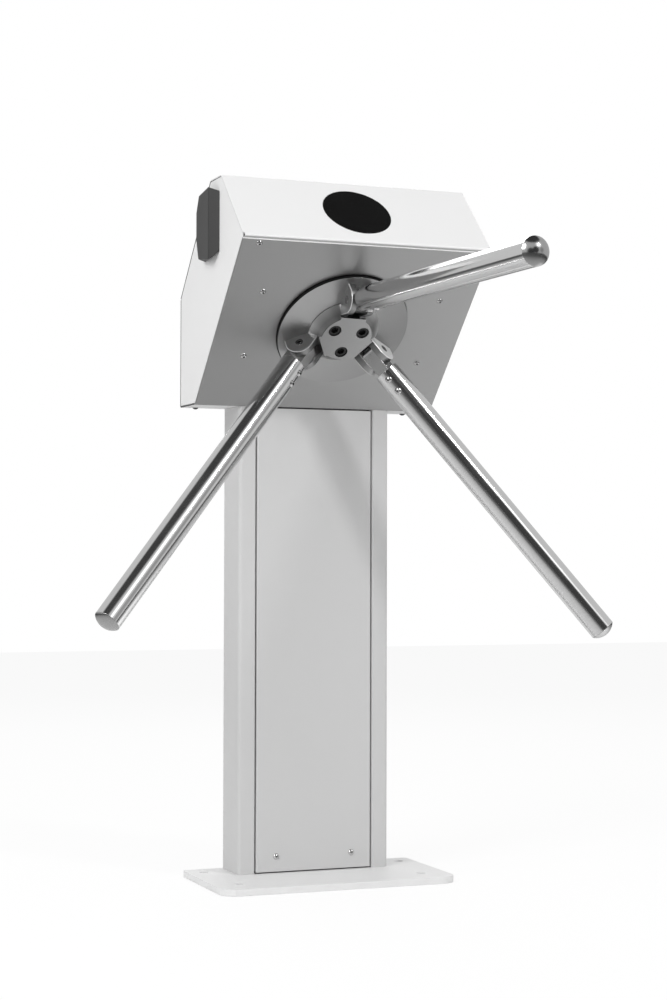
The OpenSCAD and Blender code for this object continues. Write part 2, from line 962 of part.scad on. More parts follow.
// Ball bearing: both rings and the shields between them, as one ring
module bearing(z) {
    ring = (bearing_d - shaft_d) / 2;
    recess = 0.8;
    color("lightsteelblue")
        at_mech()
            difference() {
                rod(bearing_d, z - bearing_w, z);
                rod(shaft_d + 2 * run_fit, z - bearing_w - overrun, z + overrun);
                for (face = [z - bearing_w - recess, z - recess])
                    difference() {
                        rod(bearing_d - ring / 2, face, face + 2 * recess);
                        rod(shaft_d + ring / 2, face - overrun, face + 2 * recess + overrun);
                    }
            }
}

module front_bearing() {
    bearing(front_bearing_z);
}

module rear_bearing() {
    bearing(rear_bearing_z);
}

// Pull solenoid: a bent frame round its coil, bored for the plunger
module solenoid(left) {
    frame_t = 3;
    x = [solenoid_x, solenoid_x + solenoid_l];
    y = [pawl_tail_y - solenoid_w / 2, pawl_tail_y + solenoid_w / 2];
    color("steelblue")
        at_mech()
            mirrored(left)
                difference() {
                    union() {
                        slab(x, y, [mech_back - frame_t, mech_back]);
                        for (end = [x[0], x[1] - frame_t])
                            slab([end, end + frame_t], y, [mech_back - solenoid_h, mech_back]);
                        translate([0, pawl_tail_y, plunger_z])
                            rotate([0, 90, 0])
                                rod(solenoid_w - frame_t, x[0] + frame_t / 2, x[1] - frame_t / 2);
                    }
                    translate([0, pawl_tail_y, plunger_z])
                        rotate([0, 90, 0])
                            rod(plunger_d + 2 * run_fit, x[1] - plunger_in - 8, x[1] + overrun);
                }
}

// Plunger whose forked end holds the pawl's tail on a cross pin
module plunger(left) {
    end_x = pawl_pivot[0] + pawl_w / 2;
    color("silver")
        at_mech()
            mirrored(left) {
                difference() {
                    translate([0, pawl_tail_y, plunger_z])
                        rotate([0, 90, 0])
                            rod(plunger_d, solenoid_x + solenoid_l - plunger_in, end_x);
                    slab([pawl_pivot[0] - pawl_w, end_x + overrun],
                        [pawl_tail_y - plunger_d, pawl_tail_y + plunger_d],
                        [index_back - body_gap, index_front + body_gap]);
                }
                translate([pawl_pivot[0], pawl_tail_y, plunger_z])
                    rod(link_d, overrun - plunger_d / 2, plunger_d / 2 - overrun);
            }
}

// Damper on the front of the plate, whose bore carries the centring gear's shaft
module damper() {
    ear = damper_d / 2 + m5[1];
    color("dimgray")
        at_mech()
            translate(centring_at)
                difference() {
                    union() {
                        rod(damper_d, mech_front, mech_front + damper_h);
                        slab([-ear, ear], [-m5[1], m5[1]], [mech_front, mech_front + 2 * sheet_t]);
                    }
                    rod(centring_shaft_d + 2 * run_fit, mech_front - overrun, mech_front + damper_h - 2 * sheet_t);
                    for (side = [-1, 1])
                        translate([side * (damper_d / 2 + m5[1] / 2), 0, 0])
                            rod(m5[0], mech_front - overrun, mech_front + 2 * sheet_t + overrun);
                }
}

module centring_gear() {
    color("goldenrod")
        at_mech()
            translate(centring_at)
                union() {
                    flat([for (p = gear_outline(centring_teeth)) polar(norm(p), atan2(p[1], p[0]) + 180 / centring_teeth)],
                        gear_back, gear_front);
                    rod(centring_shaft_d, gear_front - overrun, mech_front + damper_h - 3 * sheet_t);
                    translate([crank_r, 0, 0])
                        rod(crank_d, pin_back, gear_back + overrun);
                }
}

// Wire's middle line: straight tail at the crank, the turns, then a hook round the anchor post
spring_line = let (
    r = (spring_d - spring_wire) / 2,
    x = [spring_ends[0] + spring_tail, spring_ends[1] - spring_tail],
    last = spring_turns * spring_turn_rings
) [
    [spring_ends[0], 0, 0],
    [spring_ends[0] + spring_wire, 0, 0],
    [spring_ends[0] + spring_tail / 2, r / 2, 0],
    for (i = [0:last]) let (a = 360 * i / spring_turn_rings)
        [x[0] + (x[1] - x[0]) * i / last, r * cos(a), r * sin(a)],
    for (a = spring_hook_angles)
        [anchor_at[0] + spring_hook_r * cos(a), spring_hook_r * sin(a), 0]
];

// Least gap between stretches of wire that are half a turn or more apart
spring_gap = min([for (i = [0:len(spring_line) - 1], j = [i + spring_turn_rings / 2:1:len(spring_line) - 1])
    norm(spring_line[i] - spring_line[j])]) - spring_wire;
echo(spring_gap = spring_gap);

function tangents(p) = let (last = len(p) - 1) [for (i = [0:last]) unit(p[min(i + 1, last)] - p[max(i - 1, 0)])];
function squared(u, t) = unit(u - (u * t) * t);

// Directions square to a line, each carried on from the one before
function carried(t, u) = [
    for (i = 0, v = squared(u, t[0]); i < len(t); i = i + 1, v = i < len(t) ? squared(v, t[i]) : v) v
];

// One unbroken wire along a line of points
module wire_along(p, r, sides) {
    t = tangents(p);
    u = carried(t, [0, 0, 1]);
    n = len(p);
    rings = [for (i = [0:n - 1], k = [0:sides - 1]) let (a = 360 * k / sides)
        p[i] + r * (cos(a) * u[i] + sin(a) * cross(t[i], u[i]))];
    walls = [for (i = [0:n - 2], k = [0:sides - 1]) let (
        a = i * sides + k,
        b = i * sides + (k + 1) % sides
    ) each [[a, a + sides, b], [b, a + sides, b + sides]]];
    lids = [for (k = [1:sides - 2]) each [
        [0, k, k + 1],
        [(n - 1) * sides, (n - 1) * sides + k + 1, (n - 1) * sides + k]
    ]];
    polyhedron(points = rings, faces = concat(walls, lids));
}

// Return spring from the centring gear's crank pin to its anchor post
module centring_spring() {
    color("gray")
        at_mech()
            translate([0, centring_at[1], spring_z])
                wire_along(spring_line, spring_wire / 2, spring_sides);
}

module main_shaft() {
    color("silver")
        at_mech()
            difference() {
                union() {
                    rod(shaft_d, disc_back, disc_face + spigot_h - sheet_t);
                    rod(flange_d, flange_back, disc_back);
                    rod(shoulder_d, front_bearing_z + seam, flange_back + overrun);
                    rod(shaft_d, index_back, flange_back);
                    rod(thread_d, shaft_end, index_back + overrun);
                }
                cap_screw_places()
                    rod(m12[0], flange_back - overrun, disc_back + overrun);
                key_space(0);
            }
}

module cap_screw_places() {
    for (k = [0:2])
        rotate([0, 0, -(arm_phase + 60 + 120 * k)])
            translate([0, cap_screw_r, 0])
                children();
}

module key_space(slack) {
    slab([-key_w / 2 - slack, key_w / 2 + slack],
        [shaft_d / 2 - key_h / 2, shaft_d / 2 + key_h / 2 + slack], [index_back, gear_front]);
}

module shaft_key() {
    color("gray")
        at_mech()
            key_space(0);
}

module rotor_disc() {
    color("lightgray")
        at_mech()
            difference() {
                rod(disc_d, disc_back, disc_face);
                rod(shaft_d, disc_back - overrun, disc_face + overrun);
                cap_screw_places()
                    rod(m12[0] + thread_slack, disc_back - overrun, disc_face + overrun);
                tongue_pockets();
            }
}

// Milled pockets in which the tongues of the arms turn
module tongue_pockets() {
    for (k = [0:2])
        rotate([0, 0, -(arm_phase + 120 * k)])
            translate([-slot_w / 2, pivot_r, pivot_h])
                rotate([0, 90, 0])
                    rod(2 * (tongue_r + body_gap), 0, slot_w);
}

// Side view of one clevis: distance from the rotor axis, height above the panel
ear_top = [pivot_r, pivot_h] + polar(ear_r, 180 - arm_cone);
ear_outline = concat(
    [[ear_root_r, disc_back], [pivot_r + ear_r, disc_back]],
    [for (i = [0:ear_steps]) [pivot_r, pivot_h] + polar(ear_r, (180 - arm_cone) * i / ear_steps)],
    [[ear_root_r, ear_top[1] - (ear_top[0] - ear_root_r) / tan(arm_cone)]]
);

// Middle of the hub: a head with a flat at each clevis, on a cone that widens to the disc
module hub_core() {
    cone_top = hub_h - hub_edge / 2;
    cone_r = hub_d / 2 - hub_edge / 2;
    rotate_extrude()
        polygon([
            [0, disc_back], [hub_foot_r, disc_back], [hub_foot_r, disc_face + hub_edge],
            [cone_r, cone_top], [0, cone_top]
        ]);
    translate([0, 0, disc_face + hub_edge])
        linear_extrude(hub_h - disc_face - hub_edge) {
            circle(d = hub_d);
            for (k = [0:2])
                rotate(-(arm_phase + 120 * k))
                    translate([-slot_w / 2 - ear_t, 0])
                        square([slot_w + 2 * ear_t, hub_flat]);
        }
}

module hub() {
    color("silver")
        difference() {
            union() {
                at_mech()
                    hub_core();
                on_rotor()
                    along_x(ear_outline, -slot_w / 2 - ear_t, slot_w / 2 + ear_t);
            }
            on_rotor()
                slab([-slot_w / 2, slot_w / 2], [hub_flat, disc_d / 2], [disc_back, pivot_h + 2 * ear_r]);
            for (k = [0:2])
                at_arm(k)
                    rotate([0, 90, 0])
                        rod(pin_d, -slot_w - ear_t, slot_w + ear_t);
            at_mech() {
                rod(disc_d + 2 * overrun, disc_back - overrun, disc_face);
                rod(shaft_d, disc_back, disc_face + spigot_h);
                cap_screw_places() {
                    rod(m12[0] + thread_slack, disc_back, hub_h + overrun);
                    rod(counterbore_d, hub_h - counterbore, hub_h + overrun);
                }
            }
        }
}

module hub_cap_screws() {
    head_z0 = hub_h - counterbore;
    color("black")
        at_mech()
            cap_screw_places()
                translate([0, 0, head_z0])
                    screw(m12, head_z0 - flange_back);
}

module drive_gear() {
    color("goldenrod")
        at_mech()
            difference() {
                union() {
                    flat(gear_outline(drive_teeth), gear_back, gear_front);
                    rod(gear_boss_d, index_front, mech_back - body_gap);
                }
                rod(shaft_d, index_front - overrun, mech_back + overrun);
                key_space(0);
            }
}

module index_disc() {
    color("dimgray")
        at_mech()
            difference() {
                rod(2 * index_r, index_back, index_front);
                rod(shaft_d, index_back - overrun, index_front + overrun);
                for (k = [0:2])
                    rotate([0, 0, notch_angle + 120 * k])
                        slab([index_r - notch_d, index_r + overrun], [-notch_w / 2, notch_w / 2],
                            [index_back - overrun, index_front + overrun]);
                key_space(0);
            }
}

module shaft_nut() {
    color("silver")
        at_mech()
            difference() {
                translate([0, 0, index_back - nut_t])
                    cylinder(d = shaft_d * 1.4, h = nut_t, $fn = 6);
                rod(thread_d, index_back - nut_t - overrun, index_back + overrun);
            }
}

module clevis_pins() {
    color("gray")
        for (k = [0:2])
            at_arm(k)
                rotate([0, 90, 0])
                    difference() {
                        rod(pin_d, -slot_w / 2 - ear_t, slot_w / 2 + ear_t);
                        for (end = [-1, 1])
                            translate([0, 0, end * (slot_w / 2 + ear_t)])
                                cylinder(d = pin_d * socket_share, h = ear_t, center = true, $fn = 6);
                    }
}

// The fixing screws of one arm, on the side that faces the rotor axis
module arm_screw_places() {
    for (s = arm_screw_s)
        translate([0, seat_depth - tube_d / 2, tube_start + s])
            rotate([90, 0, 0])
                children();
}

module arm_knuckle(k) {
    color("gray")
        at_arm(k)
            difference() {
                union() {
                    translate([-tongue_w / 2, 0, 0])
                        rotate([0, 90, 0])
                            rod(2 * tongue_r, 0, tongue_w);
                    slab([-tongue_w / 2, tongue_w / 2], [-tongue_r, tongue_r], [0, tube_start]);
                    rod(tube_d - 2 * tube_wall, tube_start - overrun, tube_start + plug_l);
                }
                rotate([0, 90, 0])
                    rod(pin_d + 2 * run_fit, -slot_w, slot_w);
                arm_screw_places()
                    rod(m6[0], -tube_d / 2, overrun);
            }
}

module arm_tube(k) {
    color("lightgray")
        at_arm(k)
            difference() {
                rod(tube_d, tube_start, arm_len - cap_h);
                rod(tube_d - 2 * tube_wall, tube_start - overrun, arm_len);
                arm_screw_places() {
                    rod(m6[0] + thread_slack, -2 * tube_wall, overrun);
                    rod(m6[1] + thread_slack, 0, tube_wall);
                }
            }
}

module arm_cap(k) {
    dome_r = (cap_h * cap_h + tube_d * tube_d / 4) / (2 * cap_h);
    color("silver")
        at_arm(k)
            union() {
                rod(tube_d - 2 * tube_wall, arm_len - cap_h - cap_plug_l, arm_len - cap_h + overrun / 2);
                translate([0, 0, arm_len - cap_h])
                    intersection() {
                        translate([0, 0, cap_h - dome_r])
                            sphere(r = dome_r);
                        rod(tube_d, 0, cap_h + overrun);
                    }
            }
}

module arm_screws(k) {
    color("silver")
        at_arm(k)
            arm_screw_places()
                screw(m6, tube_d / 4, round_head = true);
}

// Locking pawl, its tooth poised at the mouth of the index disc's notch
module locking_pawl(left) {
    angle = notch_angle + 120;
    tip = polar(index_r + body_gap, angle);
    path = [[pawl_pivot[0], pawl_tail_y + pawl_w / 2], pawl_pivot, polar(pawl_elbow_r, angle), tip];
    color("firebrick")
        at_mech()
            mirrored(left)
                difference() {
                    flat(lever(path, pawl_w, 2), index_back, index_front);
                    translate(pawl_pivot)
                        rod(pawl_pin_d + 2 * run_fit, index_back - overrun, index_front + overrun);
                    translate([pawl_pivot[0], pawl_tail_y, 0])
                        slab([-link_d / 2 - link_gap, link_d / 2 + link_gap], [-link_slot / 2, link_slot / 2],
                            [index_back - overrun, index_front + overrun]);
                }
}

base_plate();
column_shell();
column_top_plate();
column_cross_bars();
service_panel();
service_panel_screws();
control_board();
board_parts();
head_tray();
side_panel(true);  // side_panel_left
side_panel(false);  // side_panel_right
top_cover();
front_frame();
front_panel();
front_panel_screws();
tray_screws();
head_bolts();
indicator(true);  // indicator_left
indicator(false);  // indicator_right
reader_window();
lock_body();
mechanism_frame(true);  // mechanism_frame_left
mechanism_frame(false);  // mechanism_frame_right
mechanism_plate();
mechanism_bolts();
mechanism_pins();
bearing_housing();
front_bearing();
rear_bearing();
solenoid(true);  // solenoid_left
solenoid(false);  // solenoid_right
damper();
centring_spring();
main_shaft();
shaft_key();
rotor_disc();
hub();
hub_cap_screws();
drive_gear();
index_disc();
shaft_nut();
clevis_pins();
arm_knuckle(0);  // arm_top_knuckle
arm_tube(0);  // arm_top_tube
arm_cap(0);  // arm_top_cap
arm_screws(0);  // arm_top_screws
arm_knuckle(1);  // arm_right_knuckle
arm_tube(1);  // arm_right_tube
arm_cap(1);  // arm_right_cap
arm_screws(1);  // arm_right_screws
arm_knuckle(2);  // arm_left_knuckle
arm_tube(2);  // arm_left_tube
arm_cap(2);  // arm_left_cap
arm_screws(2);  // arm_left_screws
centring_gear();
locking_pawl(true);  // locking_pawl_left
locking_pawl(false);  // locking_pawl_right
plunger(true);  // plunger_left
plunger(false);  // plunger_right
lock_barrel();
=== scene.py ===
"""Dresses the tripod turnstile: its visible pieces, finishes, studio and camera."""

import json
import logging
import math
from contextlib import contextmanager
from dataclasses import dataclass, field
from enum import Enum
from typing import Callable, Iterator, Sequence

import bmesh
import bpy
from mathutils import Matrix, Vector


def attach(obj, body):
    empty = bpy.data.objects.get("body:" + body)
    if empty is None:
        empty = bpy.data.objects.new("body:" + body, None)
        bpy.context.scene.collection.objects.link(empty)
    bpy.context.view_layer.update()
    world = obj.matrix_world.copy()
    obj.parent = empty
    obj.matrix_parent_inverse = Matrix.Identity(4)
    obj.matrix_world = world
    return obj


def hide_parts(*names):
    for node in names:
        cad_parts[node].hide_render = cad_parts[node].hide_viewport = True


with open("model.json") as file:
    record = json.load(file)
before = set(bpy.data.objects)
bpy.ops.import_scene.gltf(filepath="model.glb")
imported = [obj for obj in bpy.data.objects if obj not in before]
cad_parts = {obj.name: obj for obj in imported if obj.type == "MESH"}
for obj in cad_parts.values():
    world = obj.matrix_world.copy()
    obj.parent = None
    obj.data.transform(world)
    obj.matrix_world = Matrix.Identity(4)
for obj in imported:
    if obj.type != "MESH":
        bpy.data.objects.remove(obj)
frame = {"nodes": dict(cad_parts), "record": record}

LOG = logging.getLogger("turnstile")
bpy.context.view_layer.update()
MM = 0.001
HALF_ROOT = math.sqrt(0.5)


class Side(Enum):
    """The two sides of the turnstile, seen from the front."""

    LEFT = -1
    RIGHT = 1


class ArmPlace(Enum):
    """The three arms and their turn round the rotor, in thirds."""

    TOP = 0
    RIGHT = 1
    LEFT = 2


@dataclass(frozen=True)
class Head:
    """Where the head's walls and the rotor are, in millimetres."""

    width: float = 384.0
    sheet: float = 2.0
    seam: float = 0.3
    rim: float = 0.9
    panel: float = 3.0
    lower_front: tuple[float, float] = (-38.0, 715.0)
    face_length: float = 314.0
    height: float = 1040.0
    flat: float = 50.0
    rear: tuple[float, float] = (38.0, 883.0)
    nose: float = 5.0
    lap: float = 14.0
    window_rise: float = 75.0
    window_hole: float = 51.8
    lock_rise: float = 40.0
    lock_hole: float = 10.15

    @property
    def brow(self) -> Vector:
        """The upper end of the inclined face, as depth and height."""
        step = self.face_length * HALF_ROOT
        return Vector((self.lower_front[0] - step, self.lower_front[1] + step))

    @property
    def crown(self) -> Vector:
        """The front edge of the flat top, as depth and height."""
        rise = self.height - self.brow.y
        return Vector((self.brow.x + rise, self.height))

    @property
    def outline(self) -> list[Vector]:
        """The side's outline, from the lower front corner anticlockwise."""
        back = Vector((self.crown.x + self.flat, self.height))
        low = Vector(self.lower_front)
        return [low, Vector((self.rear[0], low.y)), Vector(self.rear), back, self.crown, self.brow]

    @property
    def face(self) -> Matrix:
        """Placement on the inclined face: X across, Y up the face, Z out of it, at the rotor's axis."""
        middle = (Vector(self.lower_front) + self.brow) / 2
        return Matrix.Translation((0, middle.x, middle.y)) @ Matrix.Rotation(math.radians(135), 4, "X")

    @property
    def window(self) -> Matrix:
        """Placement on the upper front face, at the middle of the round window."""
        along = self.window_rise * HALF_ROOT
        spot = (0, self.brow.x + along, self.brow.y + along)
        return Matrix.Translation(spot) @ Matrix.Rotation(math.radians(45), 4, "X")

    @property
    def lock(self) -> Matrix:
        """Placement on the rear slope, at the lock: Y down the slope, Z outwards."""
        back = self.crown.x + self.flat
        slope = math.atan2(self.height - self.rear[1], self.rear[0] - back)
        along = self.lock_rise * Vector((-math.cos(slope), math.sin(slope)))
        spot = (0, self.rear[0] + along.x, self.rear[1] + along.y)
        return Matrix.Translation(spot) @ Matrix.Rotation(-slope, 4, "X")


HEAD = Head()


def feed(tree: bpy.types.NodeTree, slot: bpy.types.NodeSocket, value: object) -> None:
    """Gives an input its value.

    Args:
        tree: The node tree.
        slot: The input.
        value: A wire, which is linked to it, or a value, which is set.
    """
    if isinstance(value, Wire):
        tree.links.new(value.socket, slot)
    else:
        slot.default_value = value


class Wire:
    """A socket of a shader with arithmetic: each expression adds its Math nodes."""

    def __init__(self, tree: bpy.types.NodeTree, socket: bpy.types.NodeSocket) -> None:
        """Wraps one output socket of a node tree."""
        self.tree = tree
        self.socket = socket

    def _math(self, operation: str, first: "Wire | float", second: "Wire | float") -> "Wire":
        """Adds one Math node.

        Args:
            operation: Its operation.
            first: Its first value.
            second: Its second value.

        Returns:
            The result.
        """
        node = self.tree.nodes.new("ShaderNodeMath")
        node.operation = operation
        for slot, value in zip(node.inputs, (first, second)):
            feed(self.tree, slot, value)
        return Wire(self.tree, node.outputs[0])

    def __add__(self, other: "Wire | float") -> "Wire":
        """Sum."""
        return self._math("ADD", self, other)

    __radd__ = __add__

    def __sub__(self, other: "Wire | float") -> "Wire":
        """Difference."""
        return self._math("SUBTRACT", self, other)

    def __rsub__(self, other: float) -> "Wire":
        """Difference from a number."""
        return self._math("SUBTRACT", other, self)

    def __mul__(self, other: "Wire | float") -> "Wire":
        """Product."""
        return self._math("MULTIPLY", self, other)

    __rmul__ = __mul__

    def smooth(self, low: float, high: float) -> "Wire":
        """The value spread from low to high onto 0 to 1.

        Args:
            low: The value that gives 0.
            high: The value that gives 1.

        Returns:
            The spread value, kept inside 0 and 1.
        """
        node = self.tree.nodes.new("ShaderNodeMapRange")
        node.inputs["From Min"].default_value = low
        node.inputs["From Max"].default_value = high
        self.tree.links.new(self.socket, node.inputs["Value"])
        return Wire(self.tree, node.outputs["Result"])


class Palette:
    """One material under construction, with its principled shader."""

    def __init__(self, name: str) -> None:
        """Starts a material.

        Args:
            name: The material's name.
        """
        self.material = bpy.data.materials.new(name)
        self.material.use_nodes = True
        self.tree = self.material.node_tree
        self.shader = self.tree.nodes["Principled BSDF"]
        coordinates = self.tree.nodes.new("ShaderNodeTexCoord")
        self.place = Wire(self.tree, coordinates.outputs["Object"])
        self.mark = self.node("Attribute", "Fac", {"attribute_name": "mark"})

    def node(self, kind: str, output: str | int = 0, settings: dict | None = None, **values: object) -> Wire:
        """Adds a node.

        Args:
            kind: The node's type, without its ShaderNode prefix.
            output: The output that is returned.
            settings: The node's own settings, made before its values.
            values: Values or wires for its inputs, by name, with _ for a space.

        Returns:
            The chosen output.
        """
        node = self.tree.nodes.new("ShaderNode" + kind)
        for key, setting in (settings or {}).items():
            setattr(node, key, setting)
        for key, value in values.items():
            feed(self.tree, node.inputs[key.replace("_", " ")], value)
        return Wire(self.tree, node.outputs[output])

    def noise(self, scale: float, detail: float = 2.0, place: Wire | None = None) -> Wire:
        """Cloudy noise from 0 to 1, with a scale in features per metre."""
        return self.node("TexNoise", "Fac", Vector=place or self.place, Scale=scale, Detail=detail)

    def stretched(self, scale: Sequence[float], turn: Sequence[float] = (0, 0, 0)) -> Wire:
        """Coordinates turned, in radians, and then scaled along each axis."""
        turned = self.node("Mapping", settings={"vector_type": "TEXTURE"}, Vector=self.place, Rotation=turn)
        return self.node("Mapping", Vector=turned, Scale=scale)

    def grey(self, tone: Wire, warmth: float = 0.0) -> Wire:
        """A near-neutral colour, whose warmth sets red above blue."""
        return self.node("CombineColor", Red=tone * (1 + warmth), Green=tone, Blue=tone * (1 - warmth))

    def bump(self, height: Wire, depth: float) -> Wire:
        """A normal from a height of 0 to 1, where 1 stands for the depth in metres."""
        return self.node("Bump", Height=height, Distance=depth, Strength=1.0)

    def finish(self, **inputs: object) -> bpy.types.Material:
        """Sets the shader's inputs.

        Args:
            inputs: Values or wires, by the input's name with _ for a space.

        Returns:
            The material.
        """
        for key, value in inputs.items():
            feed(self.tree, self.shader.inputs[key.replace("_", " ")], value)
        return self.material


@dataclass(frozen=True)
class Finish:
    """A finish: its material's name, its tone and how rough it is."""

    name: str
    tone: float
    roughness: float = 0.30

    def make(self) -> bpy.types.Material:
        """Builds the material."""
        raise NotImplementedError

    def material(self) -> bpy.types.Material:
        """The material, built the first time it is asked for."""
        return bpy.data.materials.get(self.name) or self.make()


@dataclass(frozen=True)
class PowderCoat(Finish):
    """Sprayed and baked paint on sheet metal, with a fine orange peel; marked faces are darkened as painted
    shade.
    """

    roughness: float = 0.42
    peel: float = 0.00006

    def make(self) -> bpy.types.Material:
        """Builds the material."""
        p = Palette(self.name)
        drift = p.noise(4.0, 2.0)
        specks = p.noise(2600.0, 1.0).smooth(0.72, 0.78)
        # The mark darkens a face by up to 92 per cent: painted shade in the seams of the head's sheets.
        tone = self.tone * (0.985 + 0.03 * drift) * (1 - 0.03 * specks) * (1 - 0.92 * p.mark)
        skin = p.noise(620.0, 2.0)
        return p.finish(
            Base_Color=p.grey(tone),
            Roughness=self.roughness + 0.10 * (p.noise(30.0) - 0.5),
            Normal=p.bump(skin, self.peel),
        )


@dataclass(frozen=True)
class GroundSheet(Finish):
    """Sheet steel with a fine grain ground along X and a satin sheen; marked faces, cut edges, get a pale,
    less metallic tone as a painted highlight.
    """

    roughness: float = 0.36
    metal: float = 1.0

    def make(self) -> bpy.types.Material:
        """Builds the material."""
        p = Palette(self.name)
        grain = p.noise(1.0, 3.0, p.stretched((24.0, 2600.0, 2600.0)))
        cloud = p.noise(7.0, 3.0)
        tone = self.tone * (0.95 + 0.06 * cloud + 0.04 * grain)
        return p.finish(
            # Marked faces are turned pale and less metallic: a painted highlight.
            Base_Color=p.grey(tone + (0.85 - tone) * p.mark),
            Metallic=self.metal - 0.7 * p.mark,
            Roughness=self.roughness + 0.10 * (grain - 0.5) + 0.06 * (cloud - 0.5),
            Normal=p.bump(grain, 0.00001),
        )


@dataclass(frozen=True)
class TurnedSteel(Finish):
    """Steel turned in fine rings round the rotor's axis; marks above 0 darken it as painted shade, marks
    below 0 make it less metallic and lighter as painted highlight.
    """

    rim: float = 0.34
    core: float = 0.056
    # How much lighter the tone is painted towards -X per metre across the face, a painted sheen; below 0 it
    # is lighter towards +X.
    painted_light_slope: float = 0.0
    groove: float = 0.000012

    def make(self) -> bpy.types.Material:
        """Builds the material."""
        p = Palette(self.name)
        middle = HEAD.face.translation * MM
        settled = p.node(
            "Mapping", settings={"vector_type": "TEXTURE"}, Vector=p.place,
            Location=tuple(middle), Rotation=(math.radians(135), 0, 0),
        )
        flat = p.node("VectorMath", settings={"operation": "MULTIPLY"}, Vector=settled)
        flat.socket.node.inputs[1].default_value = (1, 1, 0)
        radius = p.node("VectorMath", "Value", settings={"operation": "LENGTH"}, Vector=flat)
        rings = p.node("TexNoise", "Fac", {"noise_dimensions": "1D"}, W=radius, Scale=1500.0, Detail=2.0)
        cloud = p.noise(28.0, 3.0)
        across = p.node("SeparateXYZ", "X", Vector=settled)
        # Across the core radius the tone goes over to rim: on the hub, painted light on the outer cone and
        # the ears.
        away = radius.smooth(self.core, self.core + 0.010)
        body = self.tone + (self.rim - self.tone) * away
        # This factor darkens faces marked above 0: painted shade.
        milled = 1 - 0.9 * p.mark.smooth(0.0, 2.0)
        # Marks below 0 lower the metal, which lightens the face: painted highlight.
        painted_highlight = p.mark.smooth(0.0, -1.0)
        tone = body * (0.92 + 0.10 * cloud + 0.05 * rings) * (1 - self.painted_light_slope * across) * milled
        return p.finish(
            Base_Color=p.grey(tone),
            Metallic=1 - 0.8 * painted_highlight,
            Roughness=self.roughness + 0.10 * (rings - 0.5) + 0.10 * (cloud - 0.5),
            Normal=p.bump(rings, self.groove),
        )


@dataclass(frozen=True)
class PolishedTube(Finish):
    """Polished stainless tube with hairline scuffs and faint handling marks."""

    def make(self) -> bpy.types.Material:
        """Builds the material."""
        p = Palette(self.name)
        hair = p.noise(900.0, 2.0)
        touch = p.noise(16.0, 4.0).smooth(0.45, 0.75)
        return p.finish(
            Base_Color=p.grey(self.tone * (0.98 + 0.03 * hair)),
            Metallic=1.0,
            Roughness=self.roughness + 0.06 * touch + 0.03 * hair,
            Normal=p.bump(hair, 0.000004),
        )


@dataclass(frozen=True)
class MilledSteel(Finish):
    """Milled or plated steel, for blocks, pins and screws; marked faces, the sockets, are darkened as painted
    shade.
    """

    warmth: float = 0.0
    metal: float = 1.0

    def make(self) -> bpy.types.Material:
        """Builds the material."""
        p = Palette(self.name)
        streak = p.noise(1.0, 2.0, p.stretched((260.0, 1700.0, 260.0), (0.6, 0.3, 0.8)))
        cloud = p.noise(60.0, 3.0)
        # The mark darkens sockets by up to 90 per cent: painted shade in the recess.
        tone = self.tone * (0.93 + 0.08 * cloud + 0.05 * streak) * (1 - 0.9 * p.mark)
        return p.finish(
            Base_Color=p.grey(tone, self.warmth),
            Metallic=self.metal,
            Roughness=self.roughness + 0.12 * (streak - 0.5) + 0.08 * (cloud - 0.5),
            Normal=p.bump(streak, 0.00001),
        )


@dataclass(frozen=True)
class MouldedPlastic(Finish):
    """Injection-moulded plastic with a spark-eroded grain."""

    grain: float = 0.00005
    tint: tuple[float, float, float] = (1.0, 1.0, 1.0)

    def make(self) -> bpy.types.Material:
        """Builds the material."""
        p = Palette(self.name)
        skin = p.noise(1500.0, 2.0)
        wipe = p.noise(22.0, 3.0)
        tone = self.tone * (0.94 + 0.12 * wipe)
        red, green, blue = self.tint
        return p.finish(
            Base_Color=p.node("CombineColor", Red=tone * red, Green=tone * green, Blue=tone * blue),
            Roughness=self.roughness + 0.10 * (wipe - 0.5) + 0.06 * (skin - 0.5),
            Normal=p.bump(skin, self.grain),
        )


WHITE = PowderCoat("white_powder_coat", 0.80)
COLUMN = PowderCoat("column_grey_powder_coat", 0.60, roughness=0.40)
GREY_FACE = GroundSheet("inclined_face_satin_steel", 0.36, roughness=0.42)
# Painted sheen across X: the disc is painted lighter to the left, the hub lighter to the right.
DISC = TurnedSteel("rotor_disc_turned_steel", 0.34, roughness=0.34, rim=0.34, painted_light_slope=2.6)
# The hub's rim tone paints light on the outer cone and the ears, beyond the darker face.
HUB = TurnedSteel(
    "hub_machined_steel", 0.32, roughness=0.36, rim=0.66, core=0.044, painted_light_slope=-3.5, groove=0.000006,
)
KNUCKLE = MilledSteel("knuckle_milled_steel", 0.60, roughness=0.30)
TUBE = PolishedTube("arm_polished_tube", 0.80, roughness=0.09)
CAP = PolishedTube("arm_cap_polished", 0.50, roughness=0.14)
SCREW = MilledSteel("plated_screw_steel", 0.62, roughness=0.22)
OXIDISED_SCREW = MilledSteel("oxidised_screw_steel", 0.10, roughness=0.34)
BLACK_SCREW = MilledSteel("blackened_screw_steel", 0.022, roughness=0.38, metal=0.6)
HOOD = MouldedPlastic("indicator_hood_plastic", 0.025, roughness=0.46)
WINDOW = MouldedPlastic("reader_window_plastic", 0.005, roughness=0.14, grain=0.000004)
PRIMER = PowderCoat("mechanism_frame_primer", 0.06, roughness=0.5)
ZINC = MilledSteel("zinc_plated_steel", 0.50, roughness=0.34, warmth=0.03)
GROUND = MilledSteel("ground_bearing_steel", 0.64, roughness=0.16)
CAST = MilledSteel("machined_aluminium", 0.62, roughness=0.38)
BRASS = MilledSteel("gear_brass", 0.55, roughness=0.30, warmth=0.28)
COIL = MouldedPlastic("solenoid_coil_case", 0.05, roughness=0.5, tint=(0.8, 0.9, 1.25))
BOARD = MouldedPlastic("circuit_board_lacquer", 0.10, roughness=0.32, grain=0.00001, tint=(0.25, 1.0, 0.45))
PARTS = MouldedPlastic("board_component_plastic", 0.03, roughness=0.5)

Test = Callable[[Vector], bool]


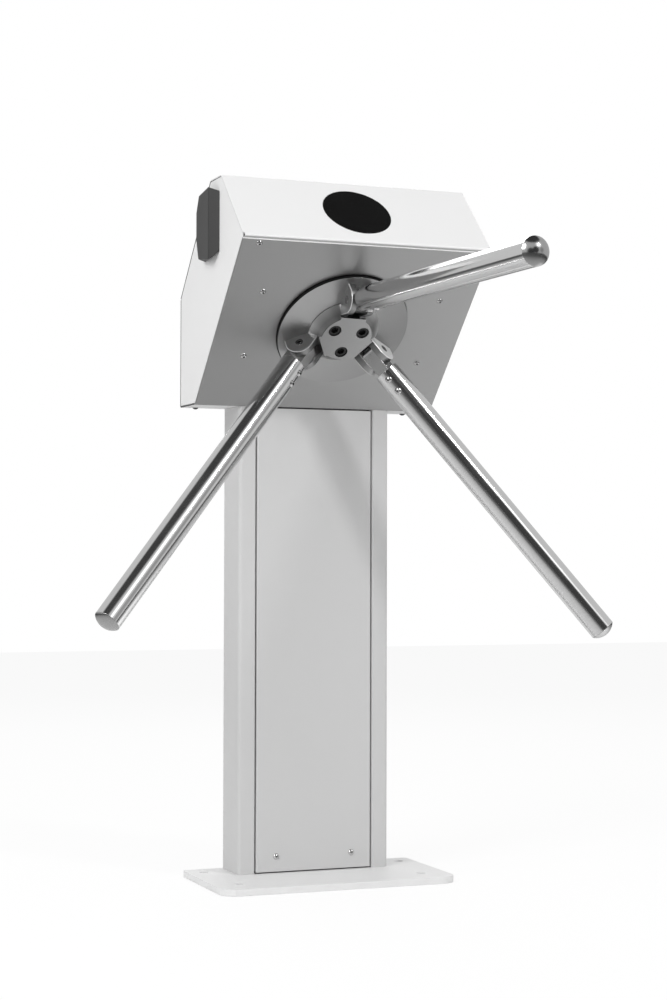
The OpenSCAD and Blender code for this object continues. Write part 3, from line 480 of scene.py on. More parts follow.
class Workpiece:
    """One mesh on the bench, in millimetres, shaped with Blender's own operators."""

    def __init__(self, obj: bpy.types.Object) -> None:
        """Takes a mesh object onto the bench."""
        self.obj = obj

    @staticmethod
    def clear() -> None:
        """Leaves nothing selected."""
        bpy.ops.object.select_all(action="DESELECT")

    def hold(self) -> None:
        """Makes this the only selected object, and the active one."""
        self.clear()
        bpy.context.view_layer.objects.active = self.obj
        self.obj.select_set(True)

    @classmethod
    def added(cls, name: str) -> "Workpiece":
        """Takes the primitive that was just added.

        Args:
            name: Its name.

        Returns:
            The workpiece, its place applied to its mesh.
        """
        obj = bpy.context.object
        obj.name = obj.data.name = name
        bpy.ops.object.transform_apply(location=True, rotation=True, scale=True)
        return cls(obj)

    @classmethod
    def box(cls, name: str, low: Sequence[float], high: Sequence[float]) -> "Workpiece":
        """A block between two corners.

        Args:
            name: Its name.
            low: Lowest corner.
            high: Highest corner.

        Returns:
            The block.
        """
        cls.clear()
        middle = [(a + b) / 2 for a, b in zip(low, high)]
        span = [b - a for a, b in zip(low, high)]
        bpy.ops.mesh.primitive_cube_add(size=1, location=middle, scale=span)
        return cls.added(name)

    @classmethod
    def rod(
        cls, name: str, radius: float, low: float, high: float, sides: int = 96, turn: str = "Z",
    ) -> "Workpiece":
        """A cylinder along an axis through the origin.

        Args:
            name: Its name.
            radius: Its radius.
            low: Where it starts on the axis.
            high: Where it ends.
            sides: Facets.
            turn: The axis, X, Y or Z.

        Returns:
            The cylinder.
        """
        cls.clear()
        middle = (0, 0, (low + high) / 2)
        bpy.ops.mesh.primitive_cylinder_add(vertices=sides, radius=radius, depth=high - low, location=middle)
        piece = cls.added(name)
        quarter = {"X": ("Y", 90), "Y": ("X", -90)}.get(turn)
        if quarter:
            piece.move(Matrix.Rotation(math.radians(quarter[1]), 4, quarter[0]))
        return piece

    @classmethod
    def dome(cls, name: str, radius: float, height: float, base: float, sides: int = 96) -> "Workpiece":
        """The top of a sphere, closed underneath.

        Args:
            name: Its name.
            radius: Radius of its foot.
            height: How high it stands.
            base: Where its foot is on Z.
            sides: Facets round it.

        Returns:
            The dome.
        """
        ball = (height * height + radius * radius) / (2 * height)
        cls.clear()
        centre = (0, 0, base + height - ball)
        bpy.ops.mesh.primitive_uv_sphere_add(segments=sides, ring_count=sides, radius=ball, location=centre)
        piece = cls.added(name)
        piece.slice((0, 0, base), (0, 0, -1))
        return piece

    @classmethod
    def from_node(cls, node: str) -> "Workpiece":
        """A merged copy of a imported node, its flat faces made whole.

        Args:
            node: The node's name.

        Returns:
            The copy, in millimetres.
        """
        cls.clear()
        source = frame["nodes"][node]
        obj = bpy.data.objects.new(node + "_dressed", source.data.copy())
        bpy.context.scene.collection.objects.link(obj)
        obj.data.transform(Matrix.Scale(1 / MM, 4))
        obj.data.materials.clear()
        piece = cls(obj)
        with piece.edit():
            bpy.ops.mesh.select_all(action="SELECT")
            bpy.ops.mesh.remove_doubles(threshold=0.0005)
            bpy.ops.mesh.dissolve_limited(angle_limit=math.radians(0.5))
        return piece

    @contextmanager
    def edit(self) -> Iterator[bmesh.types.BMesh]:
        """Edit mode on this mesh with nothing selected in it."""
        self.hold()
        bpy.ops.object.mode_set(mode="EDIT")
        bpy.ops.mesh.select_all(action="DESELECT")
        try:
            yield bmesh.from_edit_mesh(self.obj.data)
        finally:
            bpy.ops.object.mode_set(mode="OBJECT")

    def pick(self, mesh: bmesh.types.BMesh, kind: str, test: Test) -> int:
        """Selects what a test accepts.

        Args:
            mesh: The mesh in edit mode.
            kind: VERT, EDGE or FACE.
            test: Takes a vertex's place, or each corner of an edge or face.

        Returns:
            How many were selected.
        """
        bpy.ops.mesh.select_mode(type=kind)
        items = {"VERT": mesh.verts, "EDGE": mesh.edges, "FACE": mesh.faces}[kind]
        chosen = 0
        for item in items:
            corners = [item.co] if kind == "VERT" else [v.co for v in item.verts]
            if all(test(c) for c in corners):
                item.select_set(True)
                chosen += 1
        mesh.select_flush_mode()
        bmesh.update_edit_mesh(self.obj.data)
        return chosen

    def slice(self, point: Sequence[float], normal: Sequence[float]) -> "Workpiece":
        """Cuts off what lies in front of a plane and closes the cut.

        Args:
            point: A place on the plane.
            normal: The side that is cut off.

        Returns:
            This workpiece.
        """
        with self.edit():
            bpy.ops.mesh.select_all(action="SELECT")
            bpy.ops.mesh.bisect(plane_co=point, plane_no=normal, use_fill=True, clear_outer=True)
        return self

    def round_edges(self, test: Test, radius: float, steps: int = 8) -> "Workpiece":
        """Rounds the edges whose two ends pass a test.

        Args:
            test: Takes the place of a vertex.
            radius: Distance from the edge to the start of the round.
            steps: Facets of the round.

        Returns:
            This workpiece.
        """
        with self.edit() as mesh:
            if self.pick(mesh, "EDGE", test):
                bpy.ops.mesh.bevel(
                    offset=radius, offset_type="OFFSET", segments=steps, affect="EDGES", clamp_overlap=True,
                )
        return self

    def move(self, matrix: Matrix) -> "Workpiece":
        """Moves the mesh itself, so that the object stays at the origin."""
        self.obj.data.transform(matrix)
        return self

    def copy(self, matrix: Matrix) -> "Workpiece":
        """Another one with its own mesh, elsewhere.

        Args:
            matrix: Its move from here.

        Returns:
            The copy.
        """
        obj = self.obj.copy()
        obj.data = self.obj.data.copy()
        bpy.context.scene.collection.objects.link(obj)
        return Workpiece(obj).move(matrix)

    def outwards(self) -> "Workpiece":
        """Turns every face to the outside."""
        with self.edit():
            bpy.ops.mesh.select_all(action="SELECT")
            bpy.ops.mesh.normals_make_consistent(inside=False)
        return self

    def mirrored(self) -> "Workpiece":
        """Mirrors the mesh from right to left, faces still outwards."""
        return self.move(Matrix.Scale(-1, 4, (1, 0, 0))).outwards()

    def _combine(self, operation: str, tools: Sequence["Workpiece"]) -> "Workpiece":
        """Joins or cuts with other workpieces, which are used up.

        Args:
            operation: UNION or DIFFERENCE.
            tools: The other workpieces.

        Returns:
            This workpiece.
        """
        for tool in tools:
            self.modify("BOOLEAN", operation=operation, object=tool.obj, solver="EXACT")
            bpy.data.objects.remove(tool.obj)
        return self

    def cut(self, *tools: "Workpiece") -> "Workpiece":
        """Takes the tools' shapes out of this one."""
        return self._combine("DIFFERENCE", tools)

    def fuse(self, *tools: "Workpiece") -> "Workpiece":
        """Unites the tools' shapes with this one."""
        return self._combine("UNION", tools)

    def modify(self, kind: str, **settings: object) -> "Workpiece":
        """Adds a modifier and applies it.

        Args:
            kind: The modifier's type.
            settings: Its settings.

        Returns:
            This workpiece.
        """
        self.hold()
        modifier = self.obj.modifiers.new(kind.lower(), kind)
        for key, value in settings.items():
            setattr(modifier, key, value)
        bpy.ops.object.modifier_apply(modifier=modifier.name)
        return self

    def soften(self, width: float, steps: int = 2, angle: float = 40.0) -> "Workpiece":
        """Breaks the sharp edges, as deburring does.

        Args:
            width: Width of the broken edge.
            steps: Its facets.
            angle: Edges that turn more than this are broken.

        Returns:
            This workpiece.
        """
        return self.modify(
            "BEVEL", width=width, segments=steps, limit_method="ANGLE",
            angle_limit=math.radians(angle), harden_normals=False, miter_outer="MITER_ARC",
        )

    def join(self, *others: "Workpiece") -> "Workpiece":
        """Makes one object of several that stay separate shells."""
        self.hold()
        for piece in others:
            piece.obj.select_set(True)
        if others:
            bpy.ops.object.join()
        return self

    def mark(self, test: Callable[[Vector, Vector], float]) -> "Workpiece":
        """Marks faces for the finish, such as those that get painted shade or a painted highlight.

        Args:
            test: Takes a face's middle and normal and returns its mark, which the finish reads.

        Returns:
            This workpiece.
        """
        layer = self.obj.data.attributes.new("mark", "FLOAT", "FACE")
        for face, item in zip(self.obj.data.polygons, layer.data):
            item.value = test(face.center, face.normal)
        return self

    def deliver(
        self, name: str, body: str, slot: str, finish: Finish, nodes: Sequence[str], angle: float = 32.0,
    ) -> None:
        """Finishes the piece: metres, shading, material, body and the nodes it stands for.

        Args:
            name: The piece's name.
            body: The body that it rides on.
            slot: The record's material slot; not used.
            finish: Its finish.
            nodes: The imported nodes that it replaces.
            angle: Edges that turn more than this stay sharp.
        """
        self.obj.data.transform(Matrix.Scale(MM, 4))
        self.obj.name = self.obj.data.name = name
        self.hold()
        bpy.ops.object.shade_smooth_by_angle(angle=math.radians(angle))
        self.modify("WEIGHTED_NORMAL", keep_sharp=True)
        self.obj.data.materials.clear()
        self.obj.data.materials.append(finish.material())
        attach(self.obj, body)
        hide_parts(*nodes)
        LOG.info("%s: %d faces on %s", name, len(self.obj.data.polygons), body)


def folded_sheet(
    name: str, path: Sequence[Vector], radii: Sequence[float], span: tuple[float, float], along: str = "X",
) -> Workpiece:
    """Folds a sheet: a strip is extruded wall by wall, its folds rounded, and given its thickness.

    Args:
        name: The sheet's name.
        path: The outer face's corners, in two dimensions, with the inside on the left.
        radii: Outer radius of each fold.
        span: Where the sheet starts and ends along its axis.
        along: X for a path of depth and height, Z for a path of width and depth.

    Returns:
        The sheet.
    """
    def lifted(p: Vector, s: float) -> Vector:
        """A point of the path at one end of the span."""
        return Vector((s, p.x, p.y)) if along == "X" else Vector((p.x, p.y, s))

    Workpiece.clear()
    bpy.ops.mesh.primitive_plane_add(size=1)
    strip = Workpiece.added(name)
    start, end = lifted(path[0], span[0]), lifted(path[0], span[1])
    with strip.edit() as mesh:
        strip.pick(mesh, "VERT", lambda c: c.x > 0)
        bpy.ops.mesh.delete(type="VERT")
    with strip.edit() as mesh:
        mesh.verts.ensure_lookup_table()
        mesh.verts[0].co, mesh.verts[1].co = start, end
        bmesh.update_edit_mesh(strip.obj.data)
        for before, after in zip(path, path[1:]):
            if before is path[0]:
                bpy.ops.mesh.select_all(action="SELECT")
            wall = lifted(after, 0) - lifted(before, 0)
            bpy.ops.mesh.extrude_region_move(TRANSFORM_OT_translate={"value": wall})
    for i, radius in enumerate(radii, start=1):
        into, out = (path[i] - path[i - 1]).normalized(), (path[i + 1] - path[i]).normalized()
        setback = radius * math.tan(into.angle(out) / 2)
        fold = (lifted(path[i], span[0]), lifted(path[i], span[1]))
        strip.round_edges(lambda c: min((c - f).length for f in fold) < 0.01, setback, 6)
    first = strip.outwards().obj.data.polygons[0]
    run = path[1] - path[0]
    inward = lifted(Vector((-run.y, run.x)), 0).normalized()
    if first.normal.dot(inward) > 0:
        with strip.edit():
            bpy.ops.mesh.select_all(action="SELECT")
            bpy.ops.mesh.flip_normals()
    return strip.modify("SOLIDIFY", thickness=HEAD.sheet, offset=-1.0, use_even_offset=True)


def copies(piece: Workpiece, places: Sequence[Matrix]) -> Workpiece:
    """Places copies of a workpiece and makes them one object; the first one is used up.

    Args:
        piece: The workpiece.
        places: Where each goes.

    Returns:
        The group.
    """
    made = [piece.copy(place) for place in places]
    bpy.data.objects.remove(piece.obj)
    return made[0].join(*made[1:])


@dataclass(frozen=True)
class ButtonScrew:
    """A button-head screw with a hexagon socket: its two radii and the height of its head."""

    head: float
    height: float
    socket: float

    def group(self, places: Sequence[Matrix]) -> Workpiece:
        """Screws that stand on the places' Z = 0.

        Args:
            places: Where each goes.

        Returns:
            The screws.
        """
        screw = Workpiece.dome("screw", self.head, self.height, 0.0, 40)
        screw.fuse(Workpiece.rod("shank", self.head * 0.5, -self.height, self.height * 0.3, 32))
        screw.cut(Workpiece.rod("socket", self.socket, -self.height * 0.6, self.height * 2, 6))
        screw.soften(self.head * 0.035, 2, 50)
        wall = self.socket * 0.97
        # Painted shade in the socket.
        screw.mark(lambda spot, normal: float(spot.xy.length < wall and spot.z < self.height))
        return copies(screw, places)


M5_BUTTON = ButtonScrew(4.75, 2.8, 1.6)
M6_BUTTON = ButtonScrew(5.25, 3.3, 2.2)


def shift(x: float, y: float, z: float) -> Matrix:
    """A move."""
    return Matrix.Translation((x, y, z))


@dataclass
class Pedestal:
    """The foot plate and the column with its removable panel."""

    plate: tuple[float, float, float, float] = (370.0, -162.0, 38.0, 10.0)
    front_radius: float = 24.0
    rear_radius: float = 6.0
    anchors: tuple[tuple[float, float], ...] = ((160.0, 8.0), (145.0, -114.0))
    anchor_radius: float = 7.0
    cable_radius: float = 25.0
    column: tuple[float, float] = (244.0, 76.0)
    bend: float = 6.0
    flange: float = 95.0
    lip: float = -24.0
    top: float = 715.0
    panel: float = 186.0
    screw_x: float = 61.0
    screw_z: float = 35.0
    hook_span: float = 156.0

    def foot_plate(self) -> None:
        """Rounds the plate's corners and drills it."""
        width, front, back, thick = self.plate
        plate = Workpiece.box("foot_plate", (-width / 2, front, 0), (width / 2, back, thick))
        for x in (-width / 2, width / 2):
            for y, radius, steps in ((front, self.front_radius, 14), (back, self.rear_radius, 8)):
                corner = Vector((x, y))
                plate.round_edges(lambda c, at=corner: (c.xy - at).length < 0.01, radius, steps)
        for x, y in self.anchors:
            for side in Side:
                drill = Workpiece.rod("drill", self.anchor_radius, -5, 20, 64)
                plate.cut(drill.move(shift(side.value * x, y, 0)))
        plate.cut(Workpiece.rod("drill", self.cable_radius, -5, 20, 96))
        plate.soften(0.9, 3, 35)
        plate.deliver("foot_plate", "stand", "white_paint", WHITE, ["base_plate"])

    def column_body(self) -> None:
        """Folds the column's open box."""
        x, y = self.column[0] / 2, self.column[1] / 2
        right = [(self.flange, self.lip), (self.flange, -y), (x, -y), (x, y)]
        path = [Vector(c) for c in right] + [Vector((-a, b)) for a, b in reversed(right)]
        radii = [3] + [self.bend] * 4 + [3]
        shell = folded_sheet("column_body", path, radii, (self.plate[3], self.top), "Z")
        shell.soften(0.25, 2, 50)
        shell.deliver("column_body", "stand", "column_paint", COLUMN, ["column_shell"])

    def service_cover(self) -> None:
        """Folds the removable panel and fits its two screws."""
        x, y = self.panel / 2, self.column[1] / 2
        path = [Vector(c) for c in ((-x, self.lip - 2), (-x, -y), (x, -y), (x, self.lip - 2))]
        cover = folded_sheet("service_cover", path, [2.5, 2.5], (12.0, self.top - 2), "Z")
        cover.soften(0.25, 2, 50)
        hooks = Workpiece.from_node("service_panel")
        hooks.slice((0, -y + HEAD.sheet + 0.2, 0), (0, -1, 0))
        for side in Side:
            hooks.slice((side.value * self.hook_span / 2, 0, 0), (side.value, 0, 0))
        cover.join(hooks)
        cover.deliver("service_cover", "stand", "column_paint", COLUMN, ["service_panel"])
        upright = Matrix.Rotation(math.radians(90), 4, "X")
        places = [shift(s.value * self.screw_x, -y, self.screw_z) @ upright for s in Side]
        screws = M5_BUTTON.group(places)
        screws.deliver("service_cover_screws", "stand", "bright_screws", SCREW, ["service_panel_screws"])

    def build(self) -> None:
        """Builds the pedestal."""
        self.foot_plate()
        self.column_body()
        self.service_cover()


@dataclass
class Housing:
    """The head's sheet metal, its front plate, window, hoods, screws and lock."""

    head: Head = HEAD
    opening: float = 100.5
    core: tuple[float, float, float] = (0.0, -110.0, 885.0)
    lock_collar: float = 12.5
    lock_sleeve: float = 10.0
    lock_bore: float = 6.55
    face_screws: tuple[tuple[float, float], ...] = ((139.5, 60.0), (139.5, -60.0), (166.0, 145.0))
    tray_screw: tuple[float, float] = (20.0, 24.0)
    hood_at: tuple[float, float] = (44.0, 35.0)
    hood_size: tuple[float, float] = (57.0, 106.0)
    hood_rise: float = 13.0
    hood_face_shares: tuple[tuple[float, float], ...] = (
        (0.42, 0.5), (-0.37, 0.44), (-0.58, 0.22), (-0.58, -0.16), (-0.4, -0.44), (0.42, -0.5),
    )
    hood_base_shares: tuple[tuple[float, float], ...] = (
        (0.68, 0.43), (-0.5, 0.47), (-0.72, 0.24), (-0.72, -0.18), (-0.5, -0.47), (0.68, -0.4),
    )

    def inside(self, spot: Vector, normal: Vector) -> float:
        """How much painted shade a face of the head's sheets gets, to darken the seams between them.

        Args:
            spot: Its middle.
            normal: Its normal.

        Returns:
            1 on the inside and on the cut ends at the rear, little on those in front, else 0.
        """
        inward = normal.dot(Vector(self.core) - spot)
        if abs(normal.x) > 0.9:
            return 1.0 if spot.y > self.head.crown.x + self.head.flat else 0.15
        return float(inward > 10)

    def cover(self) -> None:
        """Folds the cover from its rear slope over the top to the flange behind the face plate."""
        h = self.head
        fold = h.brow + Vector((h.panel, h.panel)) * HALF_ROOT
        hem = fold + Vector((1, -1)) * HALF_ROOT * (h.nose + h.lap)
        x = h.width / 2
        sheet = folded_sheet("cover", [Vector(h.rear), h.outline[3], h.crown, fold, hem], [4, 4, 3], (-x, x))
        top = h.face_length / 2
        for side in Side:
            low = (side.value * (x - 1) - 2, top - h.nose - h.lap - 1, -h.panel - 5.5)
            notch = Workpiece.box("notch", low, (low[0] + 4, top + 1, 1))
            sheet.cut(notch.move(h.face))
        sheet.cut(Workpiece.rod("drill", h.window_hole, -8, 8, 128).move(h.window))
        sheet.cut(Workpiece.rod("drill", h.lock_hole, -8, 8, 48).move(h.lock))
        sheet.soften(0.35, 2, 50)
        outward = Vector(h.face.to_3x3().col[2])
        flange = (h.face @ Vector((0, 0, -h.panel))).dot(outward) - 0.1

        def painted_seam_shade(spot: Vector, normal: Vector) -> float:
            """Painted shade: dark inside, and half dark on the flange that the face plate covers."""
            if spot.dot(outward) > flange and normal.dot(outward) > 0.9:
                return 0.5
            return self.inside(spot, normal)

        # Painted shade on the inside faces, the cut ends and the flange under the face plate.
        sheet.mark(painted_seam_shade)
        sheet.deliver("head_cover", "stand", "white_paint", WHITE, ["top_cover"])

    def tray(self) -> None:
        """Folds the underside, rear wall and lock flange."""
        h = self.head
        under = h.sheet + h.seam
        slope = math.atan2(h.height - h.rear[1], h.rear[0] - h.crown.x - h.flat)
        start = Vector(h.lower_front) + Vector(((h.panel + h.seam) * math.sqrt(2), 0))
        top = Vector(h.rear) - Vector((0, under / math.cos(slope)))
        path = [start, h.outline[1], top, top + 20 * Vector((-math.cos(slope), math.sin(slope)))]
        sheet = folded_sheet("tray", path, [4, 2.5], (-h.width / 2, h.width / 2))
        for side in Side:
            edge = side.value * h.width / 2
            high = (edge + 2.5, h.rear[0] - under, h.height)
            sheet.cut(Workpiece.box("notch", (edge - 2.5, -2, h.rear[1] - 10), high))
        sheet.soften(0.3, 2, 50)
        # Painted shade on the inside faces and the cut ends, which darkens the seams.
        sheet.mark(self.inside)
        sheet.deliver("head_tray_sheet", "stand", "white_paint", WHITE, ["head_tray"])

    def side_walls(self) -> None:
        """Cuts each side wall out of a blank along the head's outline."""
        h = self.head
        ring = h.outline
        for side in Side:
            low = (h.width / 2 - h.sheet, ring[5].x - 20, ring[0].y - 5)
            high = (h.width / 2, h.rear[0] + 5, h.height + 5)
            wall = Workpiece.box("side_wall", low, high)
            for i, here in enumerate(ring):
                there = ring[(i + 1) % len(ring)]
                run = (there - here).normalized()
                outward = Vector((0, run.y, -run.x))
                depth = (h.seam if i == 4 else h.rim) + (h.panel if i == 5 else h.sheet)
                wall.slice(Vector((0, here.x, here.y)) - outward * depth, outward)
            corner = Vector((0, h.face_length / 2 - h.sheet - h.seam - 4, -h.panel - h.rim))
            wall.slice(h.face @ corner, h.face.to_3x3() @ Vector((0, 1, 1)))
            wall.soften(0.4, 2, 50)
            node = f"side_panel_{side.name.lower()}"
            foot = Workpiece.from_node(node)
            keep = h.width / 2 - h.sheet - 0.1
            foot.slice((side.value * keep, 0, 0), (side.value, 0, 0))
            if side is Side.LEFT:
                wall.mirrored()
            wall.join(foot)
            wall.deliver(f"side_wall_{side.name.lower()}", "stand", "white_paint", WHITE, [node])

    def face_plate(self) -> None:
        """Cuts the inclined plate round the rotor and fits its screws."""
        h = self.head
        low = (-h.width / 2, -h.face_length / 2, -h.panel)
        high = (h.width / 2, h.face_length / 2 - h.nose, 0)
        plate = Workpiece.box("face_plate", low, high)
        plate.cut(Workpiece.rod("bore", self.opening, -9, 9, 192))
        plate.soften(0.45, 3, 50)
        # The plate's top edge, which faces up the face, is marked for a painted highlight.
        plate.mark(lambda spot, normal: float(normal.y > 0.5))
        plate.move(h.face)
        plate.deliver("face_plate", "stand", "panel_steel", GREY_FACE, ["front_panel"])
        places = [h.face @ shift(s.value * x, y, 0) for s in Side for x, y in self.face_screws]
        screws = M5_BUTTON.group(places)
        screws.deliver("face_plate_screws", "stand", "bright_screws", SCREW, ["front_panel_screws"])
        down = Matrix.Rotation(math.pi, 4, "X")
        inset, y = self.tray_screw
        spots = [shift(s.value * (h.width / 2 - inset), y, h.lower_front[1]) @ down for s in Side]
        under = M5_BUTTON.group(spots)
        under.deliver("tray_screw_heads", "stand", "bright_screws", OXIDISED_SCREW, ["tray_screws"])

    def reader(self) -> None:
        """Turns the round window with a low step behind the cover."""
        radius = self.head.window_hole - self.head.seam
        pane = Workpiece.rod("reader_pane", radius, -4.5, 0.0, 160)
        pane.soften(0.5, 3, 50)
        pane.join(Workpiece.rod("flange", radius + 5, -4.5, -self.head.sheet, 128))
        pane.move(self.head.window)
        pane.deliver("reader_pane", "stand", "window_plastic", WINDOW, ["reader_window"])

    def hood(self, side: Side) -> None:
        """Draws the hood's foot, raises it and moves each corner to its face.

        Args:
            side: The wall that it is on.
        """
        h = self.head
        x = h.width / 2

        def corners(shares: Sequence[Sequence[float]]) -> list[Vector]:
            """Places of an outline given as shares."""
            centre = Vector((h.crown.x, h.brow.y)) + Vector(self.hood_at)
            return [centre + Vector((-a * self.hood_size[0], b * self.hood_size[1])) for a, b in shares]

        feet, tops = corners(self.hood_base_shares), corners(self.hood_face_shares)
        Workpiece.clear()
        bpy.ops.mesh.primitive_circle_add(vertices=len(feet), fill_type="NGON")
        hood = Workpiece.added("hood")
        with hood.edit() as mesh:
            mesh.verts.ensure_lookup_table()
            for vert, place in zip(mesh.verts, feet):
                vert.co = Vector((x, place.x, place.y))
            bmesh.update_edit_mesh(hood.obj.data)
            bpy.ops.mesh.select_all(action="SELECT")
            bpy.ops.mesh.extrude_region_move(TRANSFORM_OT_translate={"value": (self.hood_rise, 0, 0)})
            for vert in mesh.verts:
                if vert.co.x > x + 1:
                    nearest = min(range(len(feet)), key=lambda i: (feet[i] - vert.co.yz).length)
                    vert.co.y, vert.co.z = tops[nearest]
            bmesh.update_edit_mesh(hood.obj.data)
        hood.outwards().soften(1.0, 3, 12)
        if side is Side.LEFT:
            hood.mirrored()
        name = side.name.lower()
        hood.deliver(f"indicator_hood_{name}", "stand", "black_plastic", HOOD, [f"indicator_{name}"], 30)

    def lock(self) -> None:
        """Turns the lock's collar and its key barrel."""
        collar = Workpiece.rod("collar", self.lock_collar, 0, 2, 64)
        collar.round_edges(lambda c: c.z > 1.9, 0.9, 4)
        collar.fuse(Workpiece.rod("sleeve", self.lock_sleeve, -4.6, 1, 64))
        collar.cut(Workpiece.rod("bore", self.lock_bore, -9, 9, 48))
        collar.move(self.head.lock)
        collar.deliver("lock_collar", "stand", "polished_steel", CAP, ["lock_body"])
        barrel = Workpiece.from_node("lock_barrel")
        barrel.soften(0.3, 2, 45)
        barrel.deliver("lock_key_barrel", "cover_lock", "polished_steel", GROUND, ["lock_barrel"])

    def build(self) -> None:
        """Builds the housing."""
        self.cover()
        self.tray()
        self.side_walls()
        self.face_plate()
        self.reader()
        for side in Side:
            self.hood(side)
        self.lock()


@dataclass
class Rotor:
    """The disc, the hub with its three clevises, their pins and the hub's screws."""

    radius: float = 99.5
    proud: float = 6.0
    phase: float = 2.2
    face: float = 24.0
    face_radius: float = 39.0
    foot_radius: float = 54.0
    pivot: tuple[float, float] = (67.5, 19.0)
    ear: float = 20.0
    half_width: float = 20.0
    half_slot: float = 10.0
    flat: float = 38.0
    chamfer: float = 1.5
    bolt_circle: float = 25.5
    bolt_hole: float = 6.25
    pocket: float = 17.0
    shaft: float = 15.0
    counterbore: float = 9.75
    screw_seat: float = 10.5
    screw_head: float = 9.0
    screw_socket: float = 5.6
    screw_shank: float = 5.9
    pin_radius: float = 6.0
    pin_socket: float = 3.1

    def turn(self, third: int, extra: float = 0.0) -> Matrix:
        """The turn of one clevis, 0 to 2, round the rotor's axis, with degrees added."""
        return Matrix.Rotation(-math.radians(self.phase + 120 * third + extra), 4, "Z")

    def bolt(self, third: int) -> Matrix:
        """The place of one of the hub's screws, 0 to 2."""
        return self.turn(third, 60) @ shift(0, self.bolt_circle, 0)

    def pin(self, third: int) -> Matrix:
        """The place of one hinge pin, 0 to 2, which lies along X."""
        return self.turn(third) @ shift(0, *self.pivot)

    def disc(self) -> None:
        """Turns the disc, bores it and mills the pockets that the arms' tongues turn in."""
        disc = Workpiece.rod("disc", self.radius, -4.0, self.proud, 256)
        disc.cut(Workpiece.rod("bore", self.shaft, -9, 9, 64))
        for third in range(3):
            disc.cut(Workpiece.rod("bolt", self.bolt_hole, -9, 9, 48).move(self.bolt(third)))
            pocket = Workpiece.rod("pocket", self.pocket, -self.half_slot, self.half_slot, 96, "X")
            disc.cut(pocket.move(self.pin(third)))
        disc.soften(0.6, 3, 50)
        wall = self.radius - 0.5
        # Mark 1.8 darkens the disc's outer wall: painted shade in the gap round the disc.
        disc.mark(lambda spot, normal: 1.8 * (spot.xy.length > wall and abs(normal.z) < 0.6))
        disc.move(HEAD.face)
        disc.deliver("rotor_face_disc", "rotor", "rotor_steel", DISC, ["rotor_disc"])

    def core(self) -> Workpiece:
        """Turns the hub's middle: a low rim, a cone up to the head, and the head's short wall.

        Returns:
            The core.
        """
        level, shoulder = self.proud + 1.5, self.face - 1.5
        core = Workpiece.rod("hub", self.foot_radius, self.proud, level, 144)
        share = self.face_radius / self.foot_radius
        with core.edit() as mesh:
            core.pick(mesh, "FACE", lambda c: c.z > level - 0.1)
            bpy.ops.mesh.extrude_region_move(TRANSFORM_OT_translate={"value": (0, 0, shoulder - level)})
            bpy.ops.transform.resize(value=(share, share, 1), center_override=(0, 0, shoulder))
            bpy.ops.mesh.extrude_region_move(TRANSFORM_OT_translate={"value": (0, 0, self.face - shoulder)})
        return core

    def clevis(self) -> Workpiece:
        """Shapes one clevis block with its rounded ears, still without its slot.

        Returns:
            The block, pointing along Y.
        """
        reach, high = self.pivot[0] + self.ear, self.pivot[1] + self.ear
        w = self.half_width
        block = Workpiece.box("clevis", (-w, self.flat - 4, self.proud), (w, reach, high))
        tangent = Vector((0, self.pivot[0], self.pivot[1])) + self.ear * Vector((0, -1, 1)) * HALF_ROOT
        block.slice(tangent, (0, -1, 1))
        block.round_edges(lambda c: c.y > reach - 0.01 and c.z > high - 0.01, self.ear - 0.02, 16)
        sloped = tangent.y + (high - tangent.z)
        setback = self.ear * math.tan(math.radians(22.5)) - 0.03
        block.round_edges(lambda c: abs(c.z - high) < 0.02 and abs(c.y - sloped) < 0.1, setback, 8)
        for x in (-w, w):
            block.round_edges(
                lambda c, x=x: abs(c.x - x) < 0.01 and (c.z > self.proud + 0.5 or c.y > reach - 0.1),
                self.chamfer, 1,
            )
        return block

    def milled(self, spot: Vector, normal: Vector) -> float:
        """Which painted light a face of the hub gets.

        Args:
            spot: Its middle.
            normal: Its normal.

        Returns:
            Above 0 for painted shade, on the clevises' rims and the top clevis's pin faces; below 0 for
            painted highlight, on the chamfers and the right clevis's pin faces; else 0.
        """
        for third in range(3):
            back = self.turn(third).inverted()
            here, facing = back @ spot, back.to_3x3() @ normal
            if here.y > self.flat + 3 and abs(here.x) < self.half_width + 1:
                if abs(facing.x) < 0.95:
                    # Faces that turn from X, the rims, get painted shade; the slanted chamfers get painted
                    # highlight.
                    return 1.2 if abs(facing.x) < 0.15 else -1.0
                # Faces across X, the pin faces: painted shade on the top clevis, painted highlight on the
                # right one.
                return {0: 0.6, 1: -1.0}.get(third, 0.0)
        return 0.0

    def hub(self) -> None:
        """Fuses core and clevises, then mills slots, seats and bores."""
        hub = self.core()
        w, s = self.half_width, self.half_slot
        seat = Workpiece.box("seat", (-w, 0, self.proud + 1), (w, self.flat, self.face))
        block = self.clevis()
        for third in range(3):
            hub.fuse(seat.copy(self.turn(third)), block.copy(self.turn(third)))
        for third in range(3):
            slot = Workpiece.box("slot", (-s, self.flat, 0), (s, self.radius, 60))
            hub.cut(slot.move(self.turn(third)))
            pin = Workpiece.rod("pin", self.pin_radius, -30, 30, 48, "X")
            hub.cut(pin.move(self.pin(third)))
            bore = Workpiece.rod("bore", self.counterbore, self.screw_seat, 60, 64)
            hub.cut(bore.move(self.bolt(third)))
        hub.cut(Workpiece.rod("spigot", self.shaft, 0, 14, 64))
        for tool in (seat, block):
            bpy.data.objects.remove(tool.obj)
        hub.soften(0.7, 3, 30)
        # The marks paint shade and highlights onto the clevises.
        hub.mark(self.milled)
        hub.move(HEAD.face)
        hub.deliver("rotor_hub", "rotor", "rotor_steel", HUB, ["hub"], 28)

